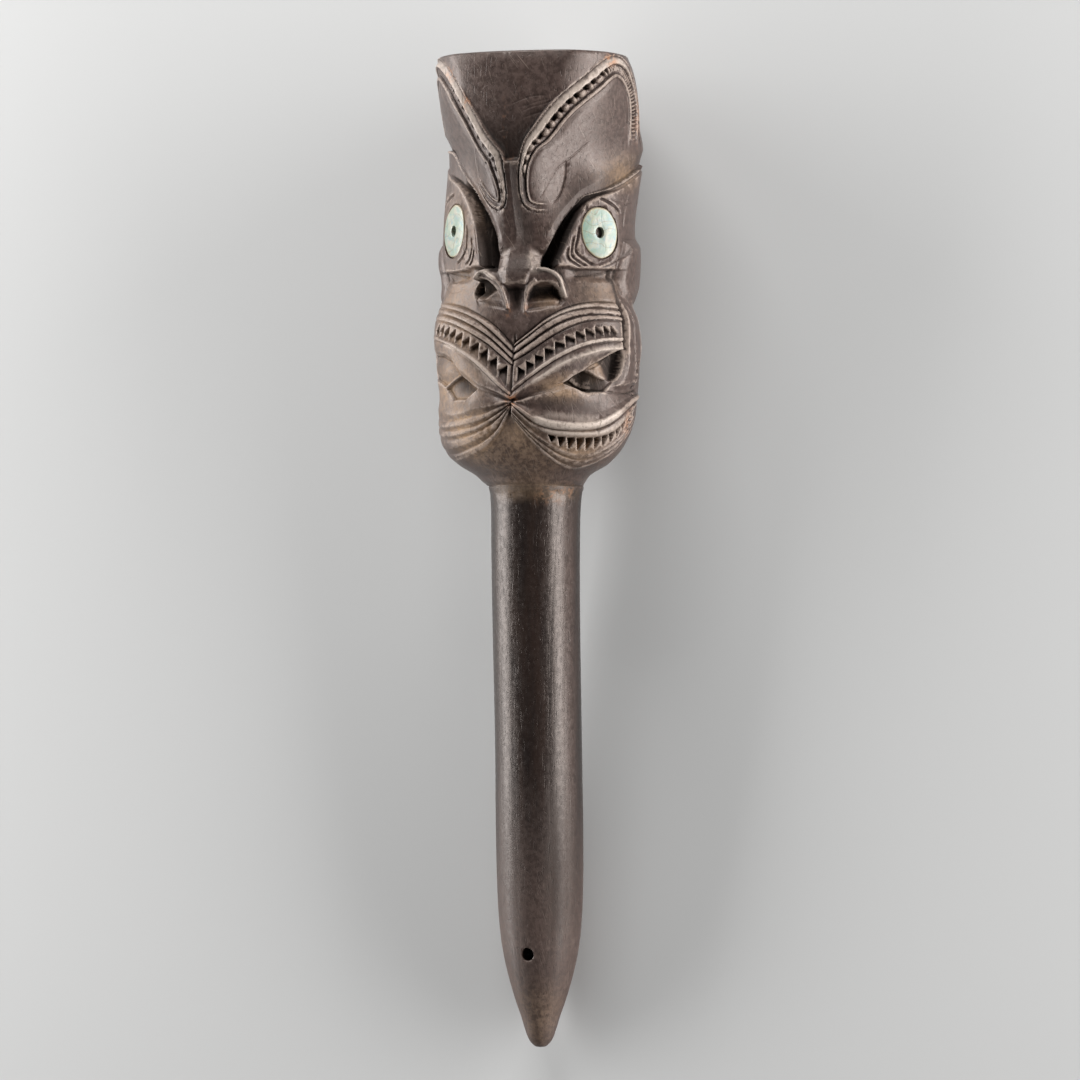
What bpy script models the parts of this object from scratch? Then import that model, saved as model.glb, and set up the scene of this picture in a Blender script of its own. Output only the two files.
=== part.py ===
"""A carved wooden god stick: a head with shell eyes on a pointed round shaft.

It lies on its back with the face up (+Z) and the head towards +X. All sizes here are
millimetres until MM turns them into metres. The carving is worked out on a chart of the
wood's surface: the angle round the stick, 0 at the middle of the face, and the height
along it, 0 at the point of the shaft and STICK_LENGTH at the top of the head.
"""

import math

import bmesh
import bpy
import numpy as np
from mathutils import Matrix, Vector

MM = 0.001

# ---- driving dimensions -------------------------------------------------------------
STICK_LENGTH = 394.0
HEAD_START = 224.0  # where the chin meets the shaft
CHART_RADIUS = 36.0  # one degree on the chart is this radius times one degree in radians
EDGE = 1.5  # how wide a carved step is drawn
TRIANGLES_AT_MOST = 8600  # in the wood before the sockets and the hole are cut

# Radius of the uncarved head at six angles round it, from the chin up.
STATIONS = (0, 38, 72, 108, 145, 180)
HEAD_SECTIONS = {
    224.0: (19.2, 19.3, 19.8, 19.2, 19.2, 19.2),
    228.4: (22.0, 22.5, 24.5, 20.8, 19.5, 19.0),
    232.0: (25.5, 27.0, 30.5, 26.6, 22.5, 21.5),
    237.0: (28.5, 31.5, 35.6, 31.8, 26.5, 25.0),
    243.6: (31.0, 34.5, 38.6, 36.0, 30.5, 28.5),
    250.0: (32.5, 35.5, 39.2, 38.4, 33.0, 31.0),
    259.0: (33.3, 36.2, 39.4, 39.4, 35.6, 33.6),
    270.0: (32.0, 36.5, 40.8, 40.2, 37.2, 35.6),
    280.0: (30.5, 36.5, 41.2, 40.2, 38.2, 37.0),
    288.4: (30.0, 35.0, 41.0, 38.8, 38.6, 37.9),
    297.0: (29.5, 32.0, 38.4, 37.2, 38.8, 38.6),
    304.0: (29.0, 30.8, 36.4, 38.2, 39.1, 39.1),
    314.0: (29.0, 31.0, 38.0, 38.8, 39.5, 39.6),
    323.5: (30.5, 31.5, 38.0, 38.6, 39.8, 39.9),
    331.0: (33.0, 30.6, 37.6, 38.8, 40.0, 40.0),
    342.0: (36.5, 30.2, 36.2, 40.3, 40.2, 39.8),
    354.6: (40.0, 32.8, 34.6, 41.8, 40.2, 39.4),
    365.0: (41.0, 36.2, 36.6, 41.5, 39.9, 39.0),
    375.5: (41.2, 39.2, 39.2, 41.1, 39.5, 38.6),
    386.0: (41.4, 40.6, 40.2, 39.6, 38.9, 38.2),
    391.0: (41.5, 41.0, 40.5, 38.0, 38.2, 38.0),
    394.0: (41.5, 41.0, 40.3, 36.2, 36.8, 37.4),
}
# Radius of the shaft, from its blunt point up to the chin.
SHAFT_PROFILE = {
    0.0: 2.2,
    1.2: 3.6,
    3.0: 4.8,
    7.0: 6.3,
    12.2: 7.9,
    18.2: 10.0,
    26.2: 12.4,
    34.5: 14.4,
    42.0: 15.7,
    50.0: 16.5,
    58.0: 17.0,
    84.0: 17.5,
    115.0: 17.4,
    151.0: 17.5,
    202.0: 17.8,
    215.0: 18.0,
    220.0: 18.4,
    224.0: 19.2,
}
# How far the middle of the shaft wanders sideways, as a hand-cut stick does.
SHAFT_SWAY = {0.0: 0.9, 40.0: 0.9, 115.0: 0.1, 200.0: -1.2, 232.0: -0.8, 262.0: 0.0}

TIE_HOLE_DIAMETER = 5.3
TIE_HOLE_HEIGHT = 38.0
TIE_HOLE_SIDEWAYS = 0.2

# The stick rests on a flat at the back of the head and on one near the point.
HEAD_REST = 303.0  # height along the stick
HEAD_REST_DEPTH = 38.2  # from the middle of the stick
POINT_REST = 54.0
POINT_REST_DEPTH = 16.3
CROWN_EDGE = (394.9, 34.0)  # height and depth of the place at the back of the top that reaches furthest
POINT_END = -0.4

# ---- the carving, side by side ------------------------------------------------------
# Lines run from the middle of the face outwards, as angle: height.
SIDES = {
    "right": {
        "sign": 1,
        "forehead_edge": {0: 350.0, 7: 352.5, 16: 364.4, 30: 376.0, 48: 386.0, 64: 396.0},
        "brow_edge": {18: 308.0, 24: 316.4, 34: 326.4, 48: 335.4, 61: 339.6, 83: 344.6, 108: 351.4, 126: 354},
        "channel_edge": {28: 307.0, 38: 320.0, 47: 330.0, 58: 336.2, 77: 340.4, 105: 348.4, 126: 351.8},
        "eye": {"angle": 62.2, "height": 323.6, "width": 15.4, "length": 20.4, "lean": 9.0},
        "lip_top": {0: 279.8, 12: 284.4, 22: 288.8, 32: 292.2, 44: 294.8, 56: 296.0, 71: 296.0},
        "lip_teeth": {0: 267.0, 12: 271.8, 22: 276.0, 32: 279.9, 44: 283.4, 56: 285.0, 71: 285.2},
        "lip_edge": {0: 257.0, 12: 260.2, 22: 262.8, 32: 265.0, 44: 268.2, 56: 271.7, 71: 276.6},
        "lower_edge": {0: 257.0, 12: 259.4, 22: 261.4, 32: 263.2, 40: 264.2, 51: 260.8, 74: 260.2, 96: 262.0},
        "lower_bead": {0: 256.1, 13: 250.8, 20: 249.0, 33: 247.2, 51: 247.4, 62: 250.0, 72: 253.6, 96: 260.4},
        "lower_teeth": {0: 254.0, 16: 243.9, 31: 240.9, 46: 239.7, 60: 240.6, 76: 247.0, 96: 257.0},
        "lower_foot": {0: 250.5, 12: 242.4, 25: 235.2, 35: 232.0, 53: 229.9, 62: 231.4, 74: 236.0, 96: 250.0},
    },
    "left": {
        "sign": -1,
        "forehead_edge": {0: 351.0, 5: 354.5, 13: 360.4, 23: 370.6, 36: 383.8, 46: 389.5, 62: 396.0},
        "brow_edge": {13: 308, 16: 322.4, 24: 332, 34: 337.4, 45: 343.2, 55: 349.2, 68: 356, 126: 360},
        "channel_edge": {23: 307.0, 28: 321.0, 40: 333.2, 56: 342.6, 78: 348.2, 101: 352.8, 126: 355.0},
        "eye": {"angle": 60.6, "height": 325.4, "width": 15.4, "length": 21.4, "lean": 17.0},
        "lip_top": {0: 278.0, 8: 282.8, 15: 286.6, 24: 290.0, 32: 292.2, 45: 294.8, 78: 298.0},
        "lip_teeth": {0: 265.4, 10: 270.2, 18: 274.2, 26: 277.6, 33: 280.3, 50: 284.7, 78: 287.8},
        "lip_edge": {0: 257.0, 10: 259.6, 25: 262.2, 33: 265.4, 39: 267.6, 47: 273.7, 58: 275.8, 78: 277.6},
        "lower_edge": {0: 257.0, 10: 258.6, 25: 261.0, 35: 257.6, 47: 257.4, 56: 261.6, 66: 263.0, 96: 263.0},
        "lower_bead": {0: 256.4, 10: 253.6, 18: 251.6, 33: 249.4, 46: 248.4, 66: 248.0, 84: 251.4, 96: 256.6},
        "lower_teeth": {0: 255.6, 6: 251.4, 12: 247.6, 24: 243.4, 42: 240.4, 59: 239.4, 84: 243.6, 96: 250.0},
        "lower_foot": {0: 255.0, 6: 248.2, 13: 242.4, 26: 237.0, 49: 233.6, 70: 233.0, 84: 238.0, 96: 246.0},
    },
}

FOREHEAD_DEPTH = {345: 35.4, 352: 35.6, 362: 36.0, 371: 36.6, 379: 37.2, 386: 37.4, 391: 37.0, 394: 36.2}
NOSE_FACES = 4.0  # the bridge looks a little to one side
MOUTH_CORNER = [
    (36, 264.4), (46.5, 268.9), (56.3, 273), (67, 277.1), (72.2, 277.5), (71.6, 271.4),
    (68.3, 266.5), (63.6, 263), (60.2, 261.2), (49.5, 261.2), (41.8, 262.6),
]
TONGUE = [
    (46.8, 269), (54.6, 266.3), (63.1, 264.9), (68.2, 266.5), (71.6, 271.4), (72.2, 277.5), (62, 275.3),
]
LEFT_CORNER = [
    (25, 261.9), (39, 267.6), (47, 273), (60, 275.8), (78, 277), (78, 266), (56, 262.6), (47, 257.4),
    (35, 257.5),
]

EYE_FACES = 41.0  # the angle that the eye's plane looks along
EYE_PLANE = 32.3  # its distance from the middle of the stick
SHELL_THICKNESS = 1.9
SHELL_RISE = 0.35  # how much the shell's face stands up in the middle
PUPIL = (3.5, 4.4)
SEAT_GAP = 0.3

COLOURS = {
    "wood": (0.030, 0.021, 0.017),
    "shell": (0.62, 0.74, 0.68),
}


# ---- small tools --------------------------------------------------------------------
def smooth(low, high, value):
    """0 below low, 1 above high, and an even S between them."""
    t = np.clip((value - low) / (high - low), 0, 1)
    return t * t * (3 - 2 * t)


def hump(value, middle, reach):
    """1 at the middle, falling evenly to 0 at reach on either side."""
    return 1 - smooth(0, reach, np.abs(value - middle))


def through(stops, at, flat_ends=False):
    """A smooth curve through stops, a dictionary of place: value, read at each place in at.

    A value may be a row of numbers, in which case the answer is a row for each place.
    """
    xs = np.array(list(stops), float)
    ys = np.array(list(stops.values()), float)
    steps = np.diff(xs)
    steps = steps.reshape((-1,) + (1,) * (ys.ndim - 1))
    rises = np.diff(ys, axis=0) / steps
    ends = (0 * rises[:1], 0 * rises[-1:]) if flat_ends else (rises[:1], rises[-1:])
    slopes = np.concatenate([ends[0], (rises[1:] + rises[:-1]) / 2, ends[1]])
    at = np.clip(at, xs[0], xs[-1])
    i = np.clip(np.searchsorted(xs, at) - 1, 0, len(xs) - 2)
    t = (at - xs[i]) / (xs[i + 1] - xs[i])
    width = xs[i + 1] - xs[i]
    if ys.ndim > 1:
        t, width = t[..., None], width[..., None]
    return (
        ys[i] * (1 + 2 * t) * (1 - t) ** 2
        + ys[i + 1] * t * t * (3 - 2 * t)
        + slopes[i] * width * t * (1 - t) ** 2
        + slopes[i + 1] * width * t * t * (t - 1)
    )


def station_weights(angle):
    """How much each of the six stations counts at an angle, by a curve even about 0 and 180."""
    rows = {place: np.eye(len(STATIONS))[k] for k, place in enumerate(STATIONS)}
    return through(rows, angle, flat_ends=True)


def inside(outline, angle, height):
    """Signed distance in mm to a closed outline of (angle, height) points, positive inside."""
    scale = math.radians(1) * CHART_RADIUS
    x, y = angle * scale, height
    nearest = np.full(angle.shape, 1e9)
    within = np.zeros(angle.shape, bool)
    corners = [(a * scale, h) for a, h in outline]
    for (ax, ay), (bx, by) in zip(corners, corners[1:] + corners[:1]):
        dx, dy = bx - ax, by - ay
        t = np.clip(((x - ax) * dx + (y - ay) * dy) / (dx * dx + dy * dy), 0, 1)
        nearest = np.minimum(nearest, np.hypot(x - ax - t * dx, y - ay - t * dy))
        crosses = (ay > y) != (by > y)
        within ^= crosses & (x < ax + (y - ay) * dx / np.where(dy == 0, 1e-9, dy))
    return np.where(within, nearest, -nearest)


def plane_radius(distance, faces, angle):
    """Radius at which a ray at this angle meets a plane that faces along another angle."""
    away = np.radians(np.clip(angle - faces, -70, 70))
    return distance / np.cos(away)


def blend(radius, other, mask):
    """Goes from radius to other as mask goes from 0 to 1."""
    return radius + (other - radius) * mask


# ---- the wood -----------------------------------------------------------------------
def uncarved(angle, height):
    head = (through(HEAD_SECTIONS, height) * station_weights(np.abs(angle))).sum(axis=-1)
    shaft = through(SHAFT_PROFILE, height)
    return np.where(height < HEAD_START, shaft, head)


def carve_forehead(radius, angle, height):
    """The flat between the brows, sunk behind their edges and turned a little to one side."""
    edges = [
        height - through(SIDES[name]["forehead_edge"], np.abs(angle)) for name in ("left", "right")
    ]
    above = np.where(angle < 0, edges[0], edges[1])
    flatness = 0.65 + 0.2 * smooth(370, 386, height) * (angle > 0)
    turned = np.radians(flatness * np.clip(angle - 3, -60, 60))
    sunk = radius - through(FOREHEAD_DEPTH, height) / np.cos(turned)
    sunk = (sunk + np.hypot(sunk, 0.6)) / 2
    near = smooth(70, 60, np.abs(angle)) * smooth(350, 352.6, height)
    return radius - sunk * near * smooth(0, EDGE, above)


def carve_brow(radius, angle, height, side):
    """The trench under the brow, from beside the nose up and round to the temple."""
    brow = [(a, float(through(side["brow_edge"], a))) for a in range(19, 126, 4)]
    brow[0] = (min(side["brow_edge"]), 308.4)
    channel = [(a, float(through(side["channel_edge"], a))) for a in range(124, 27, -4)]
    channel.append((min(side["channel_edge"]), 308.4))
    depth = inside(brow + channel, angle, height)
    deep = 6.4 - 3.0 * smooth(42, 62, angle) - 2.7 * smooth(60, 82, angle)
    above = height > through(side["brow_edge"], angle)
    bevel = hump(depth, -0.4, 2.4) * smooth(318, 324, height) * above
    return radius - (deep * smooth(0, EDGE, depth) + 0.8 * bevel) * smooth(126, 104, angle)


def carve_eye_mound(radius, angle, height, side):
    """The flat plane that holds the eye, and the shelf under it."""
    channel = [(a - 3, float(through(side["channel_edge"], a)) + 1) for a in range(30, 85, 5)]
    outer = [(92, 340), (92, 325), (83, 319), (76, 315), (69, 312), (62, 310.4), (54, 309.4), (25, 309.6)]
    mask = smooth(-0.4 * EDGE, 1.2 * EDGE, inside(channel + outer, angle, height))
    above = radius - plane_radius(EYE_PLANE - 0.02 * (height - 324), EYE_FACES, angle)
    rounded = (above + np.hypot(above, 0.8)) / 2
    radius = radius - blend(above, rounded, smooth(50, 62, angle)) * mask
    shelf = hump(height, 307.4, 3.4) * smooth(36, 48, angle) * smooth(84, 64, angle)
    return radius - 1.4 * shelf


def carve_ear(radius, angle, height):
    """The long lobe behind the eye."""
    outline = [
        (81, 320), (76, 311), (75, 305), (79, 299), (84, 296), (96, 296), (112, 300), (118, 310), (108, 322),
    ]
    lobe = inside(outline, angle, height)
    return radius + 2.2 * smooth(-2.0, 3.4, lobe) - 0.5 * hump(lobe, -1.2, 1.6) * smooth(100, 84, angle)


def carve_bridge(radius, angle, height):
    """The ridge of the nose: a flat front between two sloping sides, deeper towards its tip."""
    out = np.abs(angle - NOSE_FACES)
    bridge = smooth(321, 317, height + 0.2 * out) * smooth(302, 304.4, height) * smooth(27, 22, out)
    front = 29.8 + 3.4 * smooth(318, 305, height)
    steep, gentle = plane_radius(front - 5.0, 42, out), plane_radius(front - 2.9, 34, out)
    slope = np.where(angle > NOSE_FACES, steep, gentle)
    return blend(radius, np.minimum(plane_radius(front, 0, out), slope), bridge)


def carve_nostrils(radius, angle, height):
    """The wings of the nose, with a nostril cut up into each, its floor running onto the lip."""
    out = np.abs(angle)
    wing = [(9, 304), (16, 310), (24, 310), (31, 308), (36, 304), (38.6, 298), (34, 295), (8, 292), (6, 300)]
    mask = smooth(-0.3 * EDGE, EDGE, inside(wing, out, height))
    crown = 31.4 + 0.9 * hump(height, 306, 6) - 2.2 * smooth(301, 293, height)
    lobe = plane_radius(crown, 8, np.clip(out, 0, 30)) - 1.3 * smooth(26, 38, out)
    radius = blend(radius, lobe, mask)
    hollow = [(8.6, 292), (8.6, 297), (13, 303), (19, 304.6), (27, 305), (32, 302), (34.6, 298), (32, 293)]
    deep = 0.6 + 5.2 * smooth(295, 301, height + 0.07 * out)
    radius = radius - deep * smooth(0, EDGE, inside(hollow, out, height))
    return radius - 0.9 * hump(angle, 1, 9) * smooth(304.4, 302.4, height) * smooth(288, 294, height)


def carve_lips(radius, angle, height, side):
    """Both lips, each with a groove for its row of teeth, and the line between them."""
    at = np.abs(angle)
    lines = {name: stops for name, stops in side.items() if name[:3] in ("lip", "low")}
    line = {name: height - through(stops, at) for name, stops in lines.items()}
    ends = smooth(72, 70, angle) if side["sign"] > 0 else 1 - 0.7 * smooth(50, 72, angle)
    ends = ends * smooth(96, 84, angle)
    swell = smooth(1.0, -0.8, line["lip_top"]) * smooth(-0.6, 1.4, line["lip_edge"])
    radius = radius + 1.7 * swell * ends
    radius = radius - 0.9 * hump(line["lip_teeth"], 0, 3.6) * ends * smooth(3, 6, angle)
    fade = smooth(97, 88, angle)
    band = smooth(-0.8, 1.0, line["lower_foot"]) * smooth(0.6, -0.8, line["lower_edge"])
    radius = radius + 0.9 * band * fade
    radius = radius - 0.9 * hump(line["lower_teeth"], 0, 2.6) * smooth(18, 26, angle) * smooth(86, 78, angle)
    radius = radius + 1.5 * hump(line["lower_bead"], 0, 3.2) * smooth(6, 18, angle) * fade
    between = hump(line["lip_edge"], -0.9, 1.9) * smooth(42, 34, angle)
    return radius - 1.3 * between


def carve_mouth(radius, angle, height):
    """The open corners of the mouth: a deep one with the tongue in it, and a shallow one."""
    floor = 5.2 - 2.4 * smooth(46, 53, angle) - 2.1 * smooth(53, 66, angle)
    sinks = ((angle - 56) * 0.53 + (height - 269) * 0.5) / 8.5
    tongue = smooth(-0.2, 0.8 * EDGE, inside(TONGUE, angle, height))
    floor = blend(floor, 0.7 + 5.6 * smooth(-0.1, 1, sinks), tongue)
    radius = radius - floor * smooth(0, EDGE, inside(MOUTH_CORNER, angle, height))
    shallow = 1.5 + 1.2 * smooth(50, 30, -angle) * smooth(257, 266, height)
    return radius - shallow * smooth(0, EDGE, inside(LEFT_CORNER, -angle, height))


def carve_cheek_band(radius, angle, height):
    """The band that runs down beside the mouth, behind the ends of the lips."""
    outline = [
        (73, 299), (72.6, 274.2), (70.7, 269), (66, 264.7), (63.6, 262.8), (67, 261.4), (74, 261.2),
        (90, 263.6), (95, 280), (91, 298),
    ]
    band = inside(outline, angle, height)
    starts = smooth(300, 290, height)
    groove = 1.4 * hump(band, -0.6, 1.8) * smooth(96, 82, angle) * smooth(274, 280, height)
    return radius + (1.5 * smooth(0, 1.6 * EDGE, band) - groove) * starts


def carved(angle, height):
    """Radius of the finished wood at each place on the chart."""
    radius = carve_forehead(uncarved(angle, height), angle, height)
    radius = carve_bridge(radius, angle, height)
    for side in SIDES.values():
        here = side["sign"] * angle
        changed = carve_eye_mound(radius, here, height, side)
        changed = carve_brow(changed, here, height, side)
        changed = carve_ear(changed, here, height)
        changed = carve_lips(changed, here, height, side)
        if side["sign"] > 0:
            changed = carve_cheek_band(changed, here, height)
        radius = np.where(here > 0, changed, radius)
    radius = carve_mouth(radius, angle, height)
    radius = carve_nostrils(radius, angle, height)
    valley = hump(angle, 0, 7) * smooth(316, 323, height) * smooth(353, 350.5, height)
    return radius - 1.2 * valley


def spaced(stops):
    """Places from each stop to the next, at the spacing given with it."""
    places = []
    for (start, gap), (end, _) in zip(stops, stops[1:]):
        places.extend(np.linspace(start, end, max(1, round((end - start) / gap)), endpoint=False))
    return np.array(places + [stops[-1][0]])


def wood_mesh():
    """The stick as rings of points up its height, closed at the point and over the top."""
    heights = spaced([(0, 1.5), (12, 4.0), (60, 9.0), (216, 1.6), (STICK_LENGTH, 1)])
    half = spaced([(0, 2.2), (80, 3.0), (120, 6.0), (180, 1)])
    angles = np.concatenate([-half[:0:-1], half[:-1]])
    grid_angle, grid_height = np.meshgrid(angles, heights)
    radius = carved(grid_angle, grid_height)
    sway = through(SHAFT_SWAY, grid_height)
    turn = np.radians(grid_angle)
    rings = [np.stack([sway + radius * np.sin(turn), grid_height, radius * np.cos(turn)], axis=-1)]
    rim = rings[0][-1]
    for inward, rise in ((0.97, 0.5), (0.9, 0.9), (0.6, 1.3), (0.25, 1.5)):
        rings.append((rim * (inward, 1, inward) + (0, rise, 0))[None])
    points = np.concatenate([ring.reshape(-1, 3) for ring in rings])
    across = len(angles)
    rows = len(points) // across

    mesh = bmesh.new()
    verts = [mesh.verts.new(point) for point in points]
    for row in range(rows - 1):
        for column in range(across):
            beside = (column + 1) % across
            a, b = row * across + column, row * across + beside
            mesh.faces.new([verts[k] for k in (a, b, b + across, a + across)])
    top = mesh.verts.new((0, STICK_LENGTH + 1.6, 0))
    point = mesh.verts.new((points[:across, 0].mean(), POINT_END, 0))
    for column in range(across):
        beside = (column + 1) % across
        mesh.faces.new([verts[beside], verts[column], point])
        last = (rows - 1) * across
        mesh.faces.new([verts[last + column], verts[last + beside], top])
    return mesh


# ---- placing ------------------------------------------------------------------------
def stick_pose():
    """Turns (sideways, up the stick, out of the face) into the stick as it lies."""
    pitch = math.atan2(HEAD_REST_DEPTH - POINT_REST_DEPTH, HEAD_REST - POINT_REST)
    lay_down = Matrix(((0, 1, 0), (-1, 0, 0), (0, 0, 1))).to_4x4()
    tilt = Matrix.Rotation(-pitch, 4, "Y")
    lying = tilt @ lay_down
    touching = lying @ Vector((0, HEAD_REST, -HEAD_REST_DEPTH))
    furthest = lying @ Vector((0, CROWN_EDGE[0], -CROWN_EDGE[1]))
    nearest = lying @ Vector((0, POINT_END, 0))
    middle = (furthest.x + nearest.x) / 2
    return Matrix.Scale(MM, 4) @ Matrix.Translation((-middle, 0, -touching.z)) @ lying


def eye_frame(side):
    """Where an eye sits: x across it, y along it, z out of the wood."""
    eye = side["eye"]
    sign = side["sign"]
    faces = math.radians(EYE_FACES)
    reach = plane_radius(EYE_PLANE, EYE_FACES, eye["angle"])
    turn = math.radians(eye["angle"])
    centre = Vector((sign * reach * math.sin(turn), eye["height"], reach * math.cos(turn)))
    out = Vector((sign * math.sin(faces), -0.02, math.cos(faces))).normalized()
    across = Vector((0, 1, 0)).cross(out).normalized()
    frame = Matrix((across, out.cross(across), out)).transposed().to_4x4()
    lean = Matrix.Rotation(math.radians(sign * eye["lean"]), 4, "Z")
    return Matrix.Translation(centre) @ frame @ lean


def new_object(name, mesh, matrix, colour=None, roughness=0.5):
    """An object from a bmesh, with matrix put into its points."""
    data = bpy.data.meshes.new(name)
    mesh.transform(matrix)
    bmesh.ops.recalc_face_normals(mesh, faces=mesh.faces)
    mesh.to_mesh(data)
    mesh.free()
    made = bpy.data.objects.new(name, data)
    bpy.context.scene.collection.objects.link(made)
    if colour:
        material = bpy.data.materials.new(name)
        material.use_nodes = True
        shader = material.node_tree.nodes["Principled BSDF"]
        shader.inputs["Base Color"].default_value = (*colour, 1)
        shader.inputs["Roughness"].default_value = roughness
        shader.inputs["Metallic"].default_value = 0.0
        data.materials.append(material)
    return made


def oval_ring(width, length, z, steps):
    turns = [2 * math.pi * k / steps for k in range(steps)]
    return [(width / 2 * math.cos(t), length / 2 * math.sin(t), z) for t in turns]


def oval_stack(rings, closed_ends):
    """A solid lofted through rings; with open ends, the last ring joins the first."""
    mesh = bmesh.new()
    loops = [[mesh.verts.new(point) for point in ring] for ring in rings]
    count = len(loops[0])
    pairs = list(zip(loops, loops[1:]))
    if closed_ends:
        mesh.faces.new(loops[0])
        mesh.faces.new(loops[-1])
    else:
        pairs.append((loops[-1], loops[0]))
    for low, high in pairs:
        for k in range(count):
            j = (k + 1) % count
            mesh.faces.new([low[k], low[j], high[j], high[k]])
    return mesh


def cut(body, name, mesh, matrix):
    """Takes a hidden cutter out of the body."""
    cutter = new_object(name, mesh, matrix)
    cutter.hide_render = True
    cutter.display_type = "WIRE"
    modifier = body.modifiers.new(name, "BOOLEAN")
    modifier.object = cutter
    modifier.operation = "DIFFERENCE"


def make_stick(pose):
    wood = new_object("carved_stick", wood_mesh(), pose, COLOURS["wood"], 0.45)
    wood.data.shade_smooth()
    faces = len(wood.data.polygons) * 2
    thin = wood.modifiers.new("fewer_triangles", "DECIMATE")
    thin.ratio = TRIANGLES_AT_MOST / faces
    floor = bmesh.new()
    bmesh.ops.create_cube(floor, size=1)
    below = Matrix.Translation((0, 0, -0.05)) @ Matrix.Diagonal((0.6, 0.3, 0.1, 1))
    cut(wood, "rest_cutter", floor, below)
    for name, side in SIDES.items():
        eye = side["eye"]
        wide, long = eye["width"] + 2 * SEAT_GAP, eye["length"] + 2 * SEAT_GAP
        depths = (-SHELL_THICKNESS - SEAT_GAP, 8)
        socket = oval_stack([oval_ring(wide, long, z, 28) for z in depths], True)
        cut(wood, f"{name}_socket_cutter", socket, pose @ eye_frame(side))
    bore = TIE_HOLE_DIAMETER
    drill = oval_stack([oval_ring(bore, bore, z, 16) for z in (-25, 25)], True)
    place = Matrix.Translation((TIE_HOLE_SIDEWAYS, TIE_HOLE_HEIGHT, 0))
    cut(wood, "tie_hole_cutter", drill, pose @ place)
    return wood


def make_shell(name, side, pose):
    """One eye: a thin oval ring of shell, a little domed, with a hole for the pupil."""
    eye = side["eye"]
    wide, long = eye["width"], eye["length"]
    hole_wide, hole_long = PUPIL
    rings = [
        oval_ring(wide, long, -SHELL_THICKNESS, 28),
        oval_ring(wide, long, -0.3, 28),
        oval_ring(wide - 1.4, long - 1.4, 0.0, 28),
        oval_ring((wide + hole_wide) / 2, (long + hole_long) / 2, SHELL_RISE * 0.8, 28),
        oval_ring(hole_wide, hole_long, SHELL_RISE, 28),
        oval_ring(hole_wide, hole_long, -SHELL_THICKNESS, 28),
    ]
    mesh = oval_stack(rings, False)
    shell = new_object(f"{name}_eye_shell", mesh, pose @ eye_frame(side), COLOURS["shell"], 0.22)
    shell.data.shade_smooth()
    shell.data.set_sharp_from_angle(angle=math.radians(40))
    return shell


def main():
    for old in list(bpy.data.objects):
        bpy.data.objects.remove(old)
    pose = stick_pose()
    make_stick(pose)
    for name, side in SIDES.items():
        make_shell(name, side, pose)


main()
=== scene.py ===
# A carved wooden god stick, lying face up on a pale floor: dark old wood worn at its edges, and two shell
# eyes. The carving is worked out in millimetres on a chart of the wood's surface: the angle round the stick,
# 0 at the middle of the face and growing towards its right eye as seen from the front, and the height along
# the stick, 0 at the point. "here" is an angle mirrored so that one recipe carves both halves of the face.

import math

import bpy
import numpy as np
from mathutils import Matrix, Vector


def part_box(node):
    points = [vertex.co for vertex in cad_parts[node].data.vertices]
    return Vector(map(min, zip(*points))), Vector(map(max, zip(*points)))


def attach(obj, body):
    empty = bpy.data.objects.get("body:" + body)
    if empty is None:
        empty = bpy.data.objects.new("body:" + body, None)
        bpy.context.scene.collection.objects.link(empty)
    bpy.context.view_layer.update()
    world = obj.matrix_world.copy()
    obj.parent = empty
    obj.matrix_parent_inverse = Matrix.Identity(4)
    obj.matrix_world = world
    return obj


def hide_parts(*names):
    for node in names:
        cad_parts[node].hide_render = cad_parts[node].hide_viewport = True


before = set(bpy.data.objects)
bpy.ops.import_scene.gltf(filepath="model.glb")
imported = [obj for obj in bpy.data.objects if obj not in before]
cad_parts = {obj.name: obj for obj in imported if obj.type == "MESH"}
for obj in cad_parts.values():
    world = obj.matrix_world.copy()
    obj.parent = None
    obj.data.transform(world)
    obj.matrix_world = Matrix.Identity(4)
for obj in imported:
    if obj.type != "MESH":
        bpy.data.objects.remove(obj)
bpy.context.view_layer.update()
mm = 0.001
mmPerDegree = math.radians(1) * 36.0  # on the chart, at the usual radius of the head

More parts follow.
